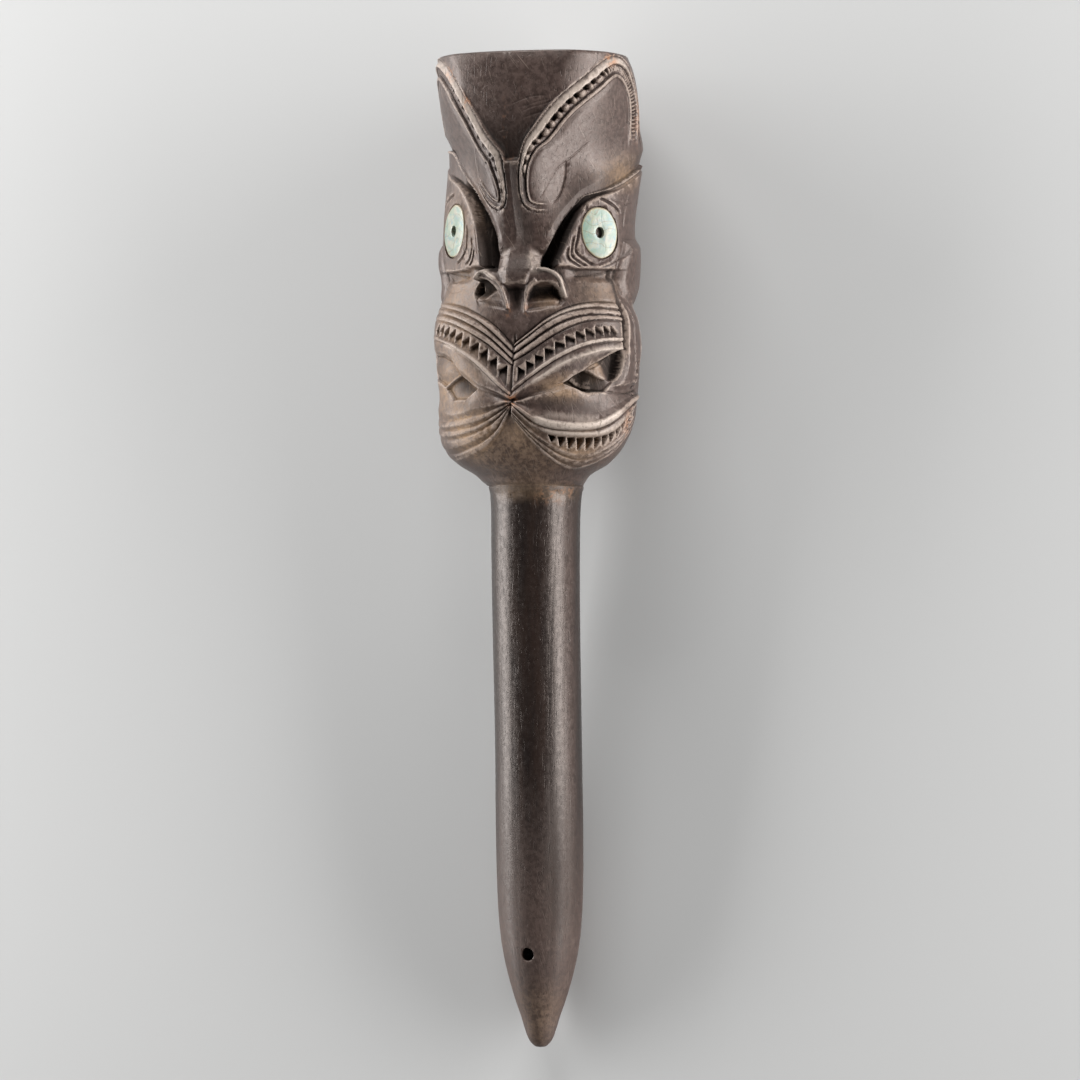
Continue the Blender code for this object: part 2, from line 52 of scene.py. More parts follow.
stick = {
    "length": 394.0,
    "chin": 224.0,  # where the head meets the shaft
    "stations": (0, 38, 72, 108, 145, 180),  # angles of the six radii in each row below
    "headSections": {
        224.0: (19.2, 19.3, 19.8, 19.2, 19.2, 19.2),
        228.4: (22.0, 22.5, 24.5, 20.8, 19.5, 19.0),
        232.0: (25.5, 27.0, 30.5, 26.6, 22.5, 21.5),
        237.0: (28.5, 31.5, 35.6, 31.8, 26.5, 25.0),
        243.6: (31.0, 34.5, 38.6, 36.0, 30.5, 28.5),
        250.0: (32.5, 35.5, 39.2, 38.4, 33.0, 31.0),
        259.0: (33.3, 36.2, 39.4, 39.4, 35.6, 33.6),
        270.0: (32.0, 36.5, 40.8, 40.2, 37.2, 35.6),
        280.0: (30.5, 36.5, 41.2, 40.2, 38.2, 37.0),
        288.4: (30.0, 35.0, 41.0, 38.8, 38.6, 37.9),
        297.0: (29.5, 32.0, 38.4, 37.2, 38.8, 38.6),
        304.0: (29.0, 30.8, 36.4, 38.2, 39.1, 39.1),
        314.0: (29.0, 31.0, 38.0, 38.8, 39.5, 39.6),
        323.5: (30.5, 31.5, 38.0, 38.6, 39.8, 39.9),
        331.0: (33.0, 30.6, 37.6, 38.8, 40.0, 40.0),
        342.0: (36.5, 30.2, 36.2, 40.3, 40.2, 39.8),
        354.6: (40.0, 32.8, 34.6, 41.8, 40.2, 39.4),
        365.0: (41.0, 36.2, 36.6, 41.5, 39.9, 39.0),
        375.5: (41.2, 39.2, 39.2, 41.1, 39.5, 38.6),
        386.0: (41.4, 40.6, 40.2, 39.6, 38.9, 38.2),
        391.0: (41.5, 41.0, 40.5, 38.0, 38.2, 38.0),
        394.0: (41.5, 41.0, 40.3, 36.2, 36.8, 37.4),
    },
    "shaftProfile": {  # height: radius
        0.0: 2.2, 1.2: 3.6, 3.0: 4.8, 7.0: 6.3, 12.2: 7.9, 18.2: 10.0, 26.2: 12.4, 34.5: 14.4, 42.0: 15.7,
        50.0: 16.5, 58.0: 17.0, 84.0: 17.5, 115.0: 17.4, 151.0: 17.5, 202.0: 17.8, 215.0: 18.0, 220.0: 18.4,
        224.0: 19.2,
    },
    "sway": {0.0: 0.9, 40.0: 0.9, 115.0: 0.1, 200.0: -1.2, 232.0: -0.8, 262.0: 0.0},
    # for each ring over the top: how far in, how far up, and how much the carving at the rim is evened out
    "crown": ((0.992, 0.28, 0.1), (0.97, 0.5, 0.5), (0.85, 0.8, 0.9), (0.6, 1.2, 1.0), (0.25, 1.5, 1.0)),
    "eveningPasses": 400,
    "pointEnd": -0.4,
    "headRest": (303.0, 38.2),  # height, and depth from the middle, of the flat it lies on
    "pointRest": (54.0, 16.3),
    "tieHole": {"diameter": 5.3, "height": 38.0, "sideways": 0.2},
    "topBulge": 1.6,  # how far the middle of the top stands over its rim
    # where the spacing of the carved surface changes, and the spacing from there on
    "heightSpacing": ((0, 0.8), (30, 1.5), (60, 2.0), (140, 1.2), (214, 0.3), (394, 1)),
    "angleSpacing": ((0, 0.3 / mmPerDegree), (106, 2.4), (180, 1)),
    "unevenness": ((0.05, 2.6), (0.1, 7.0)),  # (height, grain) of the blade's marks all over the head
    "chinCuts": 0.5,
    "triangles": 186000,
}


def ease(low, high, value):
    # 0 below low, 1 above high, an even S between
    t = np.clip((value - low) / (high - low), 0, 1)
    return t * t * (3 - 2 * t)


def bump(value, middle, reach):
    return 1 - ease(0, reach, np.abs(value - middle))


def above(value, softness):
    # the value where it is positive, 0 where it is negative, rounded off between
    return (value + np.hypot(value, softness)) / 2


def curveThrough(stops, at, flatEnds=False):
    # a smooth curve through a dictionary of place: value, where a value may be a row of numbers
    xs = np.array(list(stops), float)
    ys = np.array(list(stops.values()), float)
    steps = np.diff(xs)
    steps = steps.reshape((-1,) + (1,) * (ys.ndim - 1))
    rises = np.diff(ys, axis=0) / steps
    ends = (0 * rises[:1], 0 * rises[-1:]) if flatEnds else (rises[:1], rises[-1:])
    slopes = np.concatenate([ends[0], (rises[1:] + rises[:-1]) / 2, ends[1]])
    at = np.clip(at, xs[0], xs[-1])
    i = np.clip(np.searchsorted(xs, at) - 1, 0, len(xs) - 2)
    width = xs[i + 1] - xs[i]
    t = (at - xs[i]) / width
    if ys.ndim > 1:
        t, width = t[..., None], width[..., None]
    return (
        ys[i] * (1 + 2 * t) * (1 - t) ** 2
        + ys[i + 1] * t * t * (3 - 2 * t)
        + slopes[i] * width * t * (1 - t) ** 2
        + slopes[i + 1] * width * t * t * (t - 1)
    )


def insideOf(outline, angle, height):
    # distance in mm to a closed outline of (angle, height) corners, positive inside it
    x, y = angle * mmPerDegree, height
    nearest = np.full(angle.shape, 1e9)
    within = np.zeros(angle.shape, bool)
    corners = [(a * mmPerDegree, h) for a, h in outline]
    for (ax, ay), (bx, by) in zip(corners, corners[1:] + corners[:1]):
        dx, dy = bx - ax, by - ay
        t = np.clip(((x - ax) * dx + (y - ay) * dy) / (dx * dx + dy * dy), 0, 1)
        nearest = np.minimum(nearest, np.hypot(x - ax - t * dx, y - ay - t * dy))
        crosses = (ay > y) != (by > y)
        within ^= crosses & (x < ax + (y - ay) * dx / np.where(dy == 0, 1e-9, dy))
    return np.where(within, nearest, -nearest)


def followLine(points, angle, height, reach):
    # for each place near a smooth line through the points: how far off it lies in mm, positive on the right
    # of travel, how far along it, and the whole length
    corners = np.array(points, float) * (mmPerDegree, 1)
    lengths = np.concatenate([[0], np.cumsum(np.hypot(*np.diff(corners, axis=0).T))])
    total = lengths[-1]
    path = curveThrough(dict(zip(lengths, corners)), np.linspace(0, total, max(3, int(total / 0.8))))
    steps = np.diff(path, axis=0)
    starts = np.concatenate([[0], np.cumsum(np.hypot(*steps.T))])
    off = np.full(angle.shape, 99.0)  # far off, wherever it isn't worked out
    run = np.zeros(angle.shape)
    low, high = path.min(axis=0) - reach, path.max(axis=0) + reach
    x = angle * mmPerDegree
    near = np.nonzero((x > low[0]) & (x < high[0]) & (height > low[1]) & (height < high[1]))
    px, py = x[near], height[near]
    best = np.full(px.shape, 1e9)
    side, along = np.zeros(px.shape), np.zeros(px.shape)
    for (ax, ay), (dx, dy), start in zip(path, steps, starts):
        span = math.hypot(dx, dy)
        t = np.clip(((px - ax) * dx + (py - ay) * dy) / (span * span), 0, 1)
        ex, ey = px - ax - t * dx, py - ay - t * dy
        apart = ex * ex + ey * ey
        closer = apart < best
        best = np.where(closer, apart, best)
        side = np.where(closer, np.sign(dy * ex - dx * ey), side)
        along = np.where(closer, start + t * span, along)
    off[near] = np.sqrt(best) * side
    run[near] = along
    return off, run, starts[-1]


def strokeAlong(points, angle, height, width, fadeFrom, fadeTo):
    # how far off a line each place lies, 1 at half the width, and how much is left of a stroke that dies out
    # at both ends
    off, run, total = followLine(points, angle, height, width)
    return off * 2 / width, ease(fadeFrom, fadeTo, run) * ease(fadeFrom, fadeTo, total - run)


def incise(radius, angle, height, points, depth, width, fade=2.0):
    # a fine V-shaped cut along a line
    off, left = strokeAlong(points, angle, height, width, 0, fade)
    return radius - depth * left * np.clip(1 - np.abs(off), 0, 1)


def bead(radius, angle, height, points, rise, width, fade=1.0):
    # a rounded ridge along a line
    off, left = strokeAlong(points, angle, height, width, 0, fade)
    return radius + rise * left * np.clip(1 - off**2, 0, 1)


def placeBetween(lines, angle, height):
    # 0 on the lowest of several lines running round the face, 1 on the next, and so on
    heights = [curveThrough(line, angle) for line in lines]
    place = np.clip(height - heights[0], -1, 0)
    for low, high in zip(heights, heights[1:]):
        place = place + np.clip((height - low) / np.maximum(high - low, 0.2), 0, 1)
    return place + np.clip(height - heights[-1], 0, 1)


def planeRadius(distance, faces, angle):
    # the radius at which each angle meets a flat plane that looks along the angle faces
    return distance / np.cos(np.radians(np.clip(angle - faces, -70, 70)))


def uncarved(angle, height):
    # the stick's own rounded form, before any carving
    stations = stick["stations"]
    share = {place: np.eye(len(stations))[k] for k, place in enumerate(stations)}
    weights = curveThrough(share, np.abs(angle[0]), flatEnds=True)
    head = curveThrough(stick["headSections"], height[:, 0]) @ weights.T
    return np.where(height < stick["chin"], curveThrough(stick["shaftProfile"], height), head)


# the brows: two raised lobes with a notched border, either side of a sunk V
brows = {
    "right": {
        "sign": 1,
        "border": [
            (25, 331), (18, 330.8), (12, 331.6), (8, 333.2), (5.6, 337), (5, 343), (6.6, 351), (10, 358.6),
            (16, 364.4), (22, 370), (30, 376), (39, 381.2), (48, 386), (56, 390.4), (64, 393), (74, 392.6),
            (84, 389), (92, 382.6), (98, 373), (101, 362), (102.5, 356.5),
        ],
        "lowEdge": [
            (18, 308), (20, 312.4), (24, 316.4), (28, 320.4), (34, 326.4), (42, 332), (48, 335.4),
            (53, 338.2), (61, 339.6), (71, 341.4), (83, 344.6), (95, 348), (108, 351.4), (128, 354.5),
        ],
        "eyeSide": [
            (28, 306), (31, 311), (35, 316), (38, 320), (41.5, 324.4), (47, 330), (52, 333.4), (58, 336.2),
            (66, 338.2), (77, 340.4), (90, 344), (105, 348.4), (128, 352),
        ],
        "notchDepth": 1.9,
    },
    "left": {
        "sign": -1,
        "border": [
            (35, 343.6), (28, 339), (21, 335), (16, 333), (10, 332), (6, 333.2), (3.6, 337), (3.2, 343),
            (3.6, 349), (4.6, 354), (9, 357.6), (13, 360.4), (18, 365), (23, 370.6), (27, 374.8), (31, 379),
            (36, 383.8), (43, 388.6), (52, 392.4), (62, 394), (74, 393), (86, 388.6), (95, 380), (100, 368),
            (102, 359.5),
        ],
        "lowEdge": [
            (13, 308), (14, 315), (15.5, 322.4), (18.5, 326.8), (24, 332), (34, 337.4), (45, 343.2),
            (55, 349.2), (68, 356), (84, 358.4), (104, 359.4), (128, 360),
        ],
        "eyeSide": [
            (23.5, 307), (25, 311.4), (28.4, 321), (32.8, 327.2), (39.6, 333.2), (47, 338.4), (56, 342.6),
            (67, 345.8), (78, 348.2), (101, 352.8), (128, 355),
        ],
        "notchDepth": 0.45,
    },
    # depth of the flat at each height
    "forehead": {345: 35.4, 352: 35.6, 362: 36.0, 371: 36.6, 379: 37.2, 386: 37.4, 391: 37.0, 394: 36.2},
    "valley": {"width": 8.8, "depth": 1.2},
    "trenchDepth": 6.4,
    "bevelDepth": 1.1,
    # the border's profile, from its edge inwards
    "borderWidths": (0, 0.35, 3.1, 3.5, 6.3, 6.8, 7.3, 8.3, 8.8, 9.4, 11),
    "borderLevels": (-1.0, -0.7, 0.6, -0.4, -0.6, -1.0, 0.25, 0.45, -0.4, -0.25, 0),
    "notchCount": ((0, 24.5, 29, 77.7, 82, 100, 200), (0, 0, 1, 12, 13.5, 27, 90)),  # distance, notches
    "pearl": {"width": 0.33, "middle": 5.1, "length": 1.35, "share": 0.6},
}


def carveBrow(radius, here, height, side):
    # the flat of the forehead above and the valley between the brows
    off, run, total = followLine(side["border"], here, height, 60)
    flatness = 0.65 + 0.2 * ease(370, 386, height) * (side["sign"] > 0)
    aside = np.radians(flatness * np.clip(here - 3 * side["sign"], -60, 60))
    flat = curveThrough(brows["forehead"], height) / np.cos(aside)
    sunk = above(radius - flat, 0.6) * ease(350.2, 352.6, height) * ease(70, 60, here)
    sunk = sunk + 0.9 * ease(60, 74, here) * ease(360, 368, height)
    radius = radius - np.where((height > 345) & (here < 128), sunk * ease(0, 1.0, -off), 0)
    aside = np.clip(1 - here * mmPerDegree / (brows["valley"]["width"] / 2), 0, 1)
    valley = aside * ease(316, 323, height) * ease(353, 350.5, height)
    radius = radius - brows["valley"]["depth"] * valley
    # the notched border that runs up the V, round the tip and down the side
    width = 0.46 + 0.54 * ease(26, 48, run)
    across = np.where(np.abs(off) > 20, -1, off / width)
    ends = ease(0, 5, run) * ease(0, 12, total - run)
    level = np.where(across < 0, 0, np.interp(across, brows["borderWidths"], brows["borderLevels"]))
    # pits and pearls take turns along the border, closer together towards the tip, none quite like the next
    count = np.interp(run, *brows["notchCount"]) + 0.09 * np.sin(run * 0.8)
    turn = np.abs(count - np.round(count))
    along = ease(22, 27, run)
    fine = ease(78, 84, run)
    row = ease(2.9, 3.3, across) * ease(5.2 + fine, 4.6 + fine, across) * along * ease(2, 12, total - run)
    half = 0.31 - 0.07 * (across - 3.2) * (1 - fine) + 0.03 * np.sin(2.1 * np.round(count))
    pits = side["notchDepth"] * (1 - 0.6 * fine) * ease(half, half - 0.12, turn) * row
    pearl = brows["pearl"]
    fromMiddle = np.hypot((0.5 - turn) / pearl["width"], (across - pearl["middle"]) / pearl["length"])
    pearls = side["notchDepth"] * pearl["share"] * np.sqrt(np.clip(1 - fromMiddle**2, 0, 1))
    return radius + ends * (level - pits + pearls * along * (1 - 0.7 * fine))


def carveHollowUnderBrow(radius, here, height, side):
    drop, _, _ = followLine(side["lowEdge"], here, height, 30)
    rise, _, _ = followLine(side["eyeSide"], here, height, 30)
    outer = ease(50, 78, here)
    onBevel = (drop < 0) * (drop > -20) * ease(317, 324, height)
    bevel = (brows["bevelDepth"] + 1.3 * outer) * np.clip(1 + drop / (2.8 + 3.6 * outer), 0, 1) * onBevel
    deep = brows["trenchDepth"] - 3.9 * ease(42, 57, here) - 1.8 * ease(60, 82, here)
    hollow = ease(-0.2, 1.1, drop) * ease(0.0, 0.9, -rise) * ease(307.5, 309.5, height) * ease(126, 104, here)
    hollow = np.where((np.abs(drop) > 20) | (np.abs(rise) > 20), 0, hollow)
    return radius - bevel * ease(126, 106, here) * ease(308, 312, height) - deep * hollow


eyes = {
    "faces": 41.0,  # the angle that each eye's plane looks along
    "plane": 32.3,  # its distance from the middle of the stick
    "right": {
        "sign": 1,
        "angle": 62.2,
        "height": 323.6,
        "width": 15.4,
        "length": 20.4,
        "stain": 0.8,
        "lean": 9.0,
        "mound": [
            (26, 309.6), (31.6, 317), (38, 325.6), (44.4, 332), (51, 336.4), (59, 339.6), (70, 341.6),
            (80, 342.4), (92, 340), (92, 325), (83, 318.6), (76, 314.8), (69, 312), (62, 310.4), (54, 309.4),
        ],
        "cuts": [
            [(48.5, 327), (46.5, 321), (45, 316), (51, 313), (59, 310.4)],
            [(43.5, 322.5), (42.5, 318), (42, 314.4), (47, 312), (54, 310)],
            [(39.5, 318), (39, 313.4), (44, 311.2), (50, 309.8)],
            [(62, 337.6), (67, 336.2), (73, 334), (77.5, 331)],
            [(54, 335.4), (53.6, 333.4), (53, 331.2)],
        ],
        "fineCuts": [
            [(69, 337.6), (76, 336.2), (84, 335.4), (92, 336.6)],
            [(88, 341), (84, 336.4), (80.6, 331), (78.4, 325)],
            [(72, 309), (64, 307.4), (54, 306.6), (44, 306)],
            [(60, 309.4), (68, 310.8), (76, 313.6), (84, 317.6)],
        ],
        "deepCuts": [[(69, 310.4), (69.8, 307.6), (68.6, 304.4)]],
    },
    "left": {
        "sign": -1,
        "angle": 60.6,
        "height": 325.4,
        "width": 15.4,
        "length": 21.4,
        "stain": 0.2,
        "lean": 17.0,
        "mound": [
            (21, 309.6), (24.8, 321.6), (29.6, 328.6), (37, 335.4), (45, 340.6), (56, 344.6), (68, 347.4),
            (78, 349), (88, 336), (88, 324), (86, 316), (78, 310), (54, 309.4), (34, 310),
        ],
        "cuts": [
            [(44, 328), (43.5, 323), (45, 317.6), (51, 314), (58, 312)],
            [(38, 323), (36.6, 318), (39.5, 313.6), (46, 311.4)],
            [(33, 318), (36, 312.6), (41, 310.6)],
            [(62, 340.4), (69, 338.6), (77, 335)],
        ],
        "fineCuts": [
            [(34, 328), (31, 321), (29, 314)],
            [(48, 322), (47, 317), (50, 312.6)],
            [(70, 309), (58, 307.6), (44, 306.4)],
        ],
        "deepCuts": [],
    },
    "cutSizes": {"cuts": (1.0, 1.5), "fineCuts": (0.4, 1.2), "deepCuts": (0.8, 2.4)},  # depth and width
    "shelfDepth": 1.7,
    "shellThickness": 1.9,
    "shellRise": 0.35,
    "pupil": (3.5, 4.4),
    "seatGap": 0.3,
    "shellSteps": 96,
}


def carveEyeMound(radius, here, height, eye):
    # the flat plane that the eye is let into, with nested cuts at its inner corner and a shelf below
    mask = ease(-0.5, 1.2 + 2.4 * ease(64, 74, here), insideOf(eye["mound"], here, height))
    over = radius - planeRadius(eyes["plane"] - 0.02 * (height - 324), eyes["faces"], here)
    outer = ease(50, 62, here)
    radius = radius - (over * (1 - outer) + above(over, 0.8) * outer) * mask
    shelf = ease(309.8, 308.6, height) * ease(303.4, 306.6, height)
    radius = radius - eyes["shelfDepth"] * shelf * ease(36, 48, here) * ease(84, 64, here)
    for kind, (depth, width) in eyes["cutSizes"].items():
        for line in eye[kind]:
            radius = incise(radius, here, height, line, depth, width)
    return radius


ear = {
    "outline": [
        (81, 320), (76, 311), (75.4, 305), (79, 299), (84, 296), (96, 296), (112, 300), (118, 310),
        (108, 322),
    ],
    "rise": 2.2,
    "groove": 0.45,
    "cut": [(89, 316), (88, 310), (86, 303)],
}


def carveEar(radius, here, height):
    lobe = insideOf(ear["outline"], here, height)
    groove = ear["groove"] * bump(lobe, -1.2, 1.3) * ease(100, 84, here) * ease(297, 301, height)
    radius = radius + ear["rise"] * ease(-2.0, 3.4, lobe) - groove
    return incise(radius, here, height, ear["cut"], 0.35, 1.6)


nose = {
    "faces": 4.0,  # the bridge looks a little to one side
    "front": (29.8, 3.4),  # how far out the bridge's front is, and its swelling
    "slopes": ((5.0, 42), (2.9, 34)),  # right and left: how far in from the front, and where it faces
    "pitDepth": 4.8,
    "septumDepth": 0.9,
    "wingReach": 31.4,  # from the middle of the stick
    "rimWidth": 2.2,
    "right": {
        "wing": [
            (9, 304), (11, 308), (16, 310.2), (24, 310.2), (29.5, 308.8), (34.7, 306.4), (37.9, 303),
            (39.6, 297.6), (34, 295), (20, 293), (8, 292), (6.6, 300),
        ],
        "hollow": [
            (8.6, 292), (8.6, 296.8), (10.2, 300), (13.6, 302.8), (19, 304.2), (24.7, 304.2), (29.4, 303),
            (33, 300.8), (35.4, 297.6), (34, 294.6), (30, 293), (20, 292),
        ],
        "floor": 1.5,  # how deep the nostril still is where it runs out onto the lip
        "pit": (303.6, 300.8, -3.6, 0.4),  # from and to, down from the wing and up from the sill
        "rims": {  # each with its rise
            "wing": ([(16, 309.4), (24, 308.6), (29, 307), (32.4, 304.6), (34.8, 301.2), (38, 297)], 1.1),
            "hollow": ([(8.0, 291.6), (7.6, 296.7), (9.2, 300.4), (12.8, 303.4), (17, 304.9)], 0.7),
        },
    },
    "left": {
        "wing": [
            (9, 304), (14, 308.6), (20, 310), (26.4, 309.6), (30.6, 306.6), (33.4, 301), (33.8, 297),
            (22, 294.6), (8, 293), (5.6, 292), (6, 300),
        ],
        "hollow": [
            (36.4, 299.4), (35.2, 302.0), (31.6, 304.6), (26.8, 306), (23.4, 305.8), (19, 304.8),
            (15.4, 302.8), (12, 300.4), (9.6, 297), (8.6, 292.6), (20, 291.6), (30, 293.6),
        ],
        "floor": 0.7,
        "pit": (306.4, 304.8, -2.0, 1.6),
        "rims": {
            "wing": ([
                (29.4, 304.6), (27.2, 307.2), (24, 308.4), (21, 308.1), (17.6, 306.6), (12.4, 304.6),
                (9, 302.2), (7.2, 299.6), (6.4, 296.6), (6.2, 293),
            ], 1.1),
        },
    },
}


def carveBridge(radius, angle, height):
    # the ridge of the nose: a flat front between two sloping sides, swelling towards its tip
    out = np.abs(angle - nose["faces"])
    top = 320.5 - 0.2 * out
    bridge = ease(0, 3.4, top - height) * ease(300.6, 303.8, height) * ease(27, 22, out)
    least, swelling = nose["front"]
    front = least + swelling * ease(318, 305, height)
    slopes = [planeRadius(front - inward, faces, out) for inward, faces in nose["slopes"]]
    ridge = np.minimum(planeRadius(front, 0, out), np.where(angle > nose["faces"], *slopes))
    return radius + (ridge - radius) * bridge


def overSill(name, here, height):
    # height over the slanting sill where a nostril's floor drops into the pit
    if name == "right":
        return height - 299.2 - 0.03 * (here - 20)
    return height - 299.5 + 0.3 * np.minimum(here - 22, 2)


def carveNose(radius, angle, height):
    # the wings, then the nostrils cut up into them
    for name in ("right", "left"):
        side = nose[name]
        here = angle * eyes[name]["sign"]
        crown = nose["wingReach"] + 0.9 * bump(height, 306, 6) - 2.2 * ease(301, 293, height)
        wing = planeRadius(crown, 8, np.clip(here, 0, 30)) - 1.3 * ease(26, 38, here)
        new = radius + (wing - radius) * ease(-0.5, 1.3, insideOf(side["wing"], here, height))
        top, topFades, sill, sillFades = side["pit"]
        pit = ease(top, topFades, height) * ease(sill, sillFades, overSill(name, here, height))
        deep = side["floor"] * ease(292.5, 300.5, height) + nose["pitDepth"] * pit
        new = new - deep * ease(0, 0.9, insideOf(side["hollow"], here, height))
        for rim, rise in side["rims"].values():
            new = bead(new, here, height, rim, rise, nose["rimWidth"])
        radius = np.where(here > 0, new, radius)
    septum = bump(np.abs(angle - 1), 0, 9) * ease(304.2, 302.4, height) * ease(288, 294, height)
    return radius - nose["septumDepth"] * septum


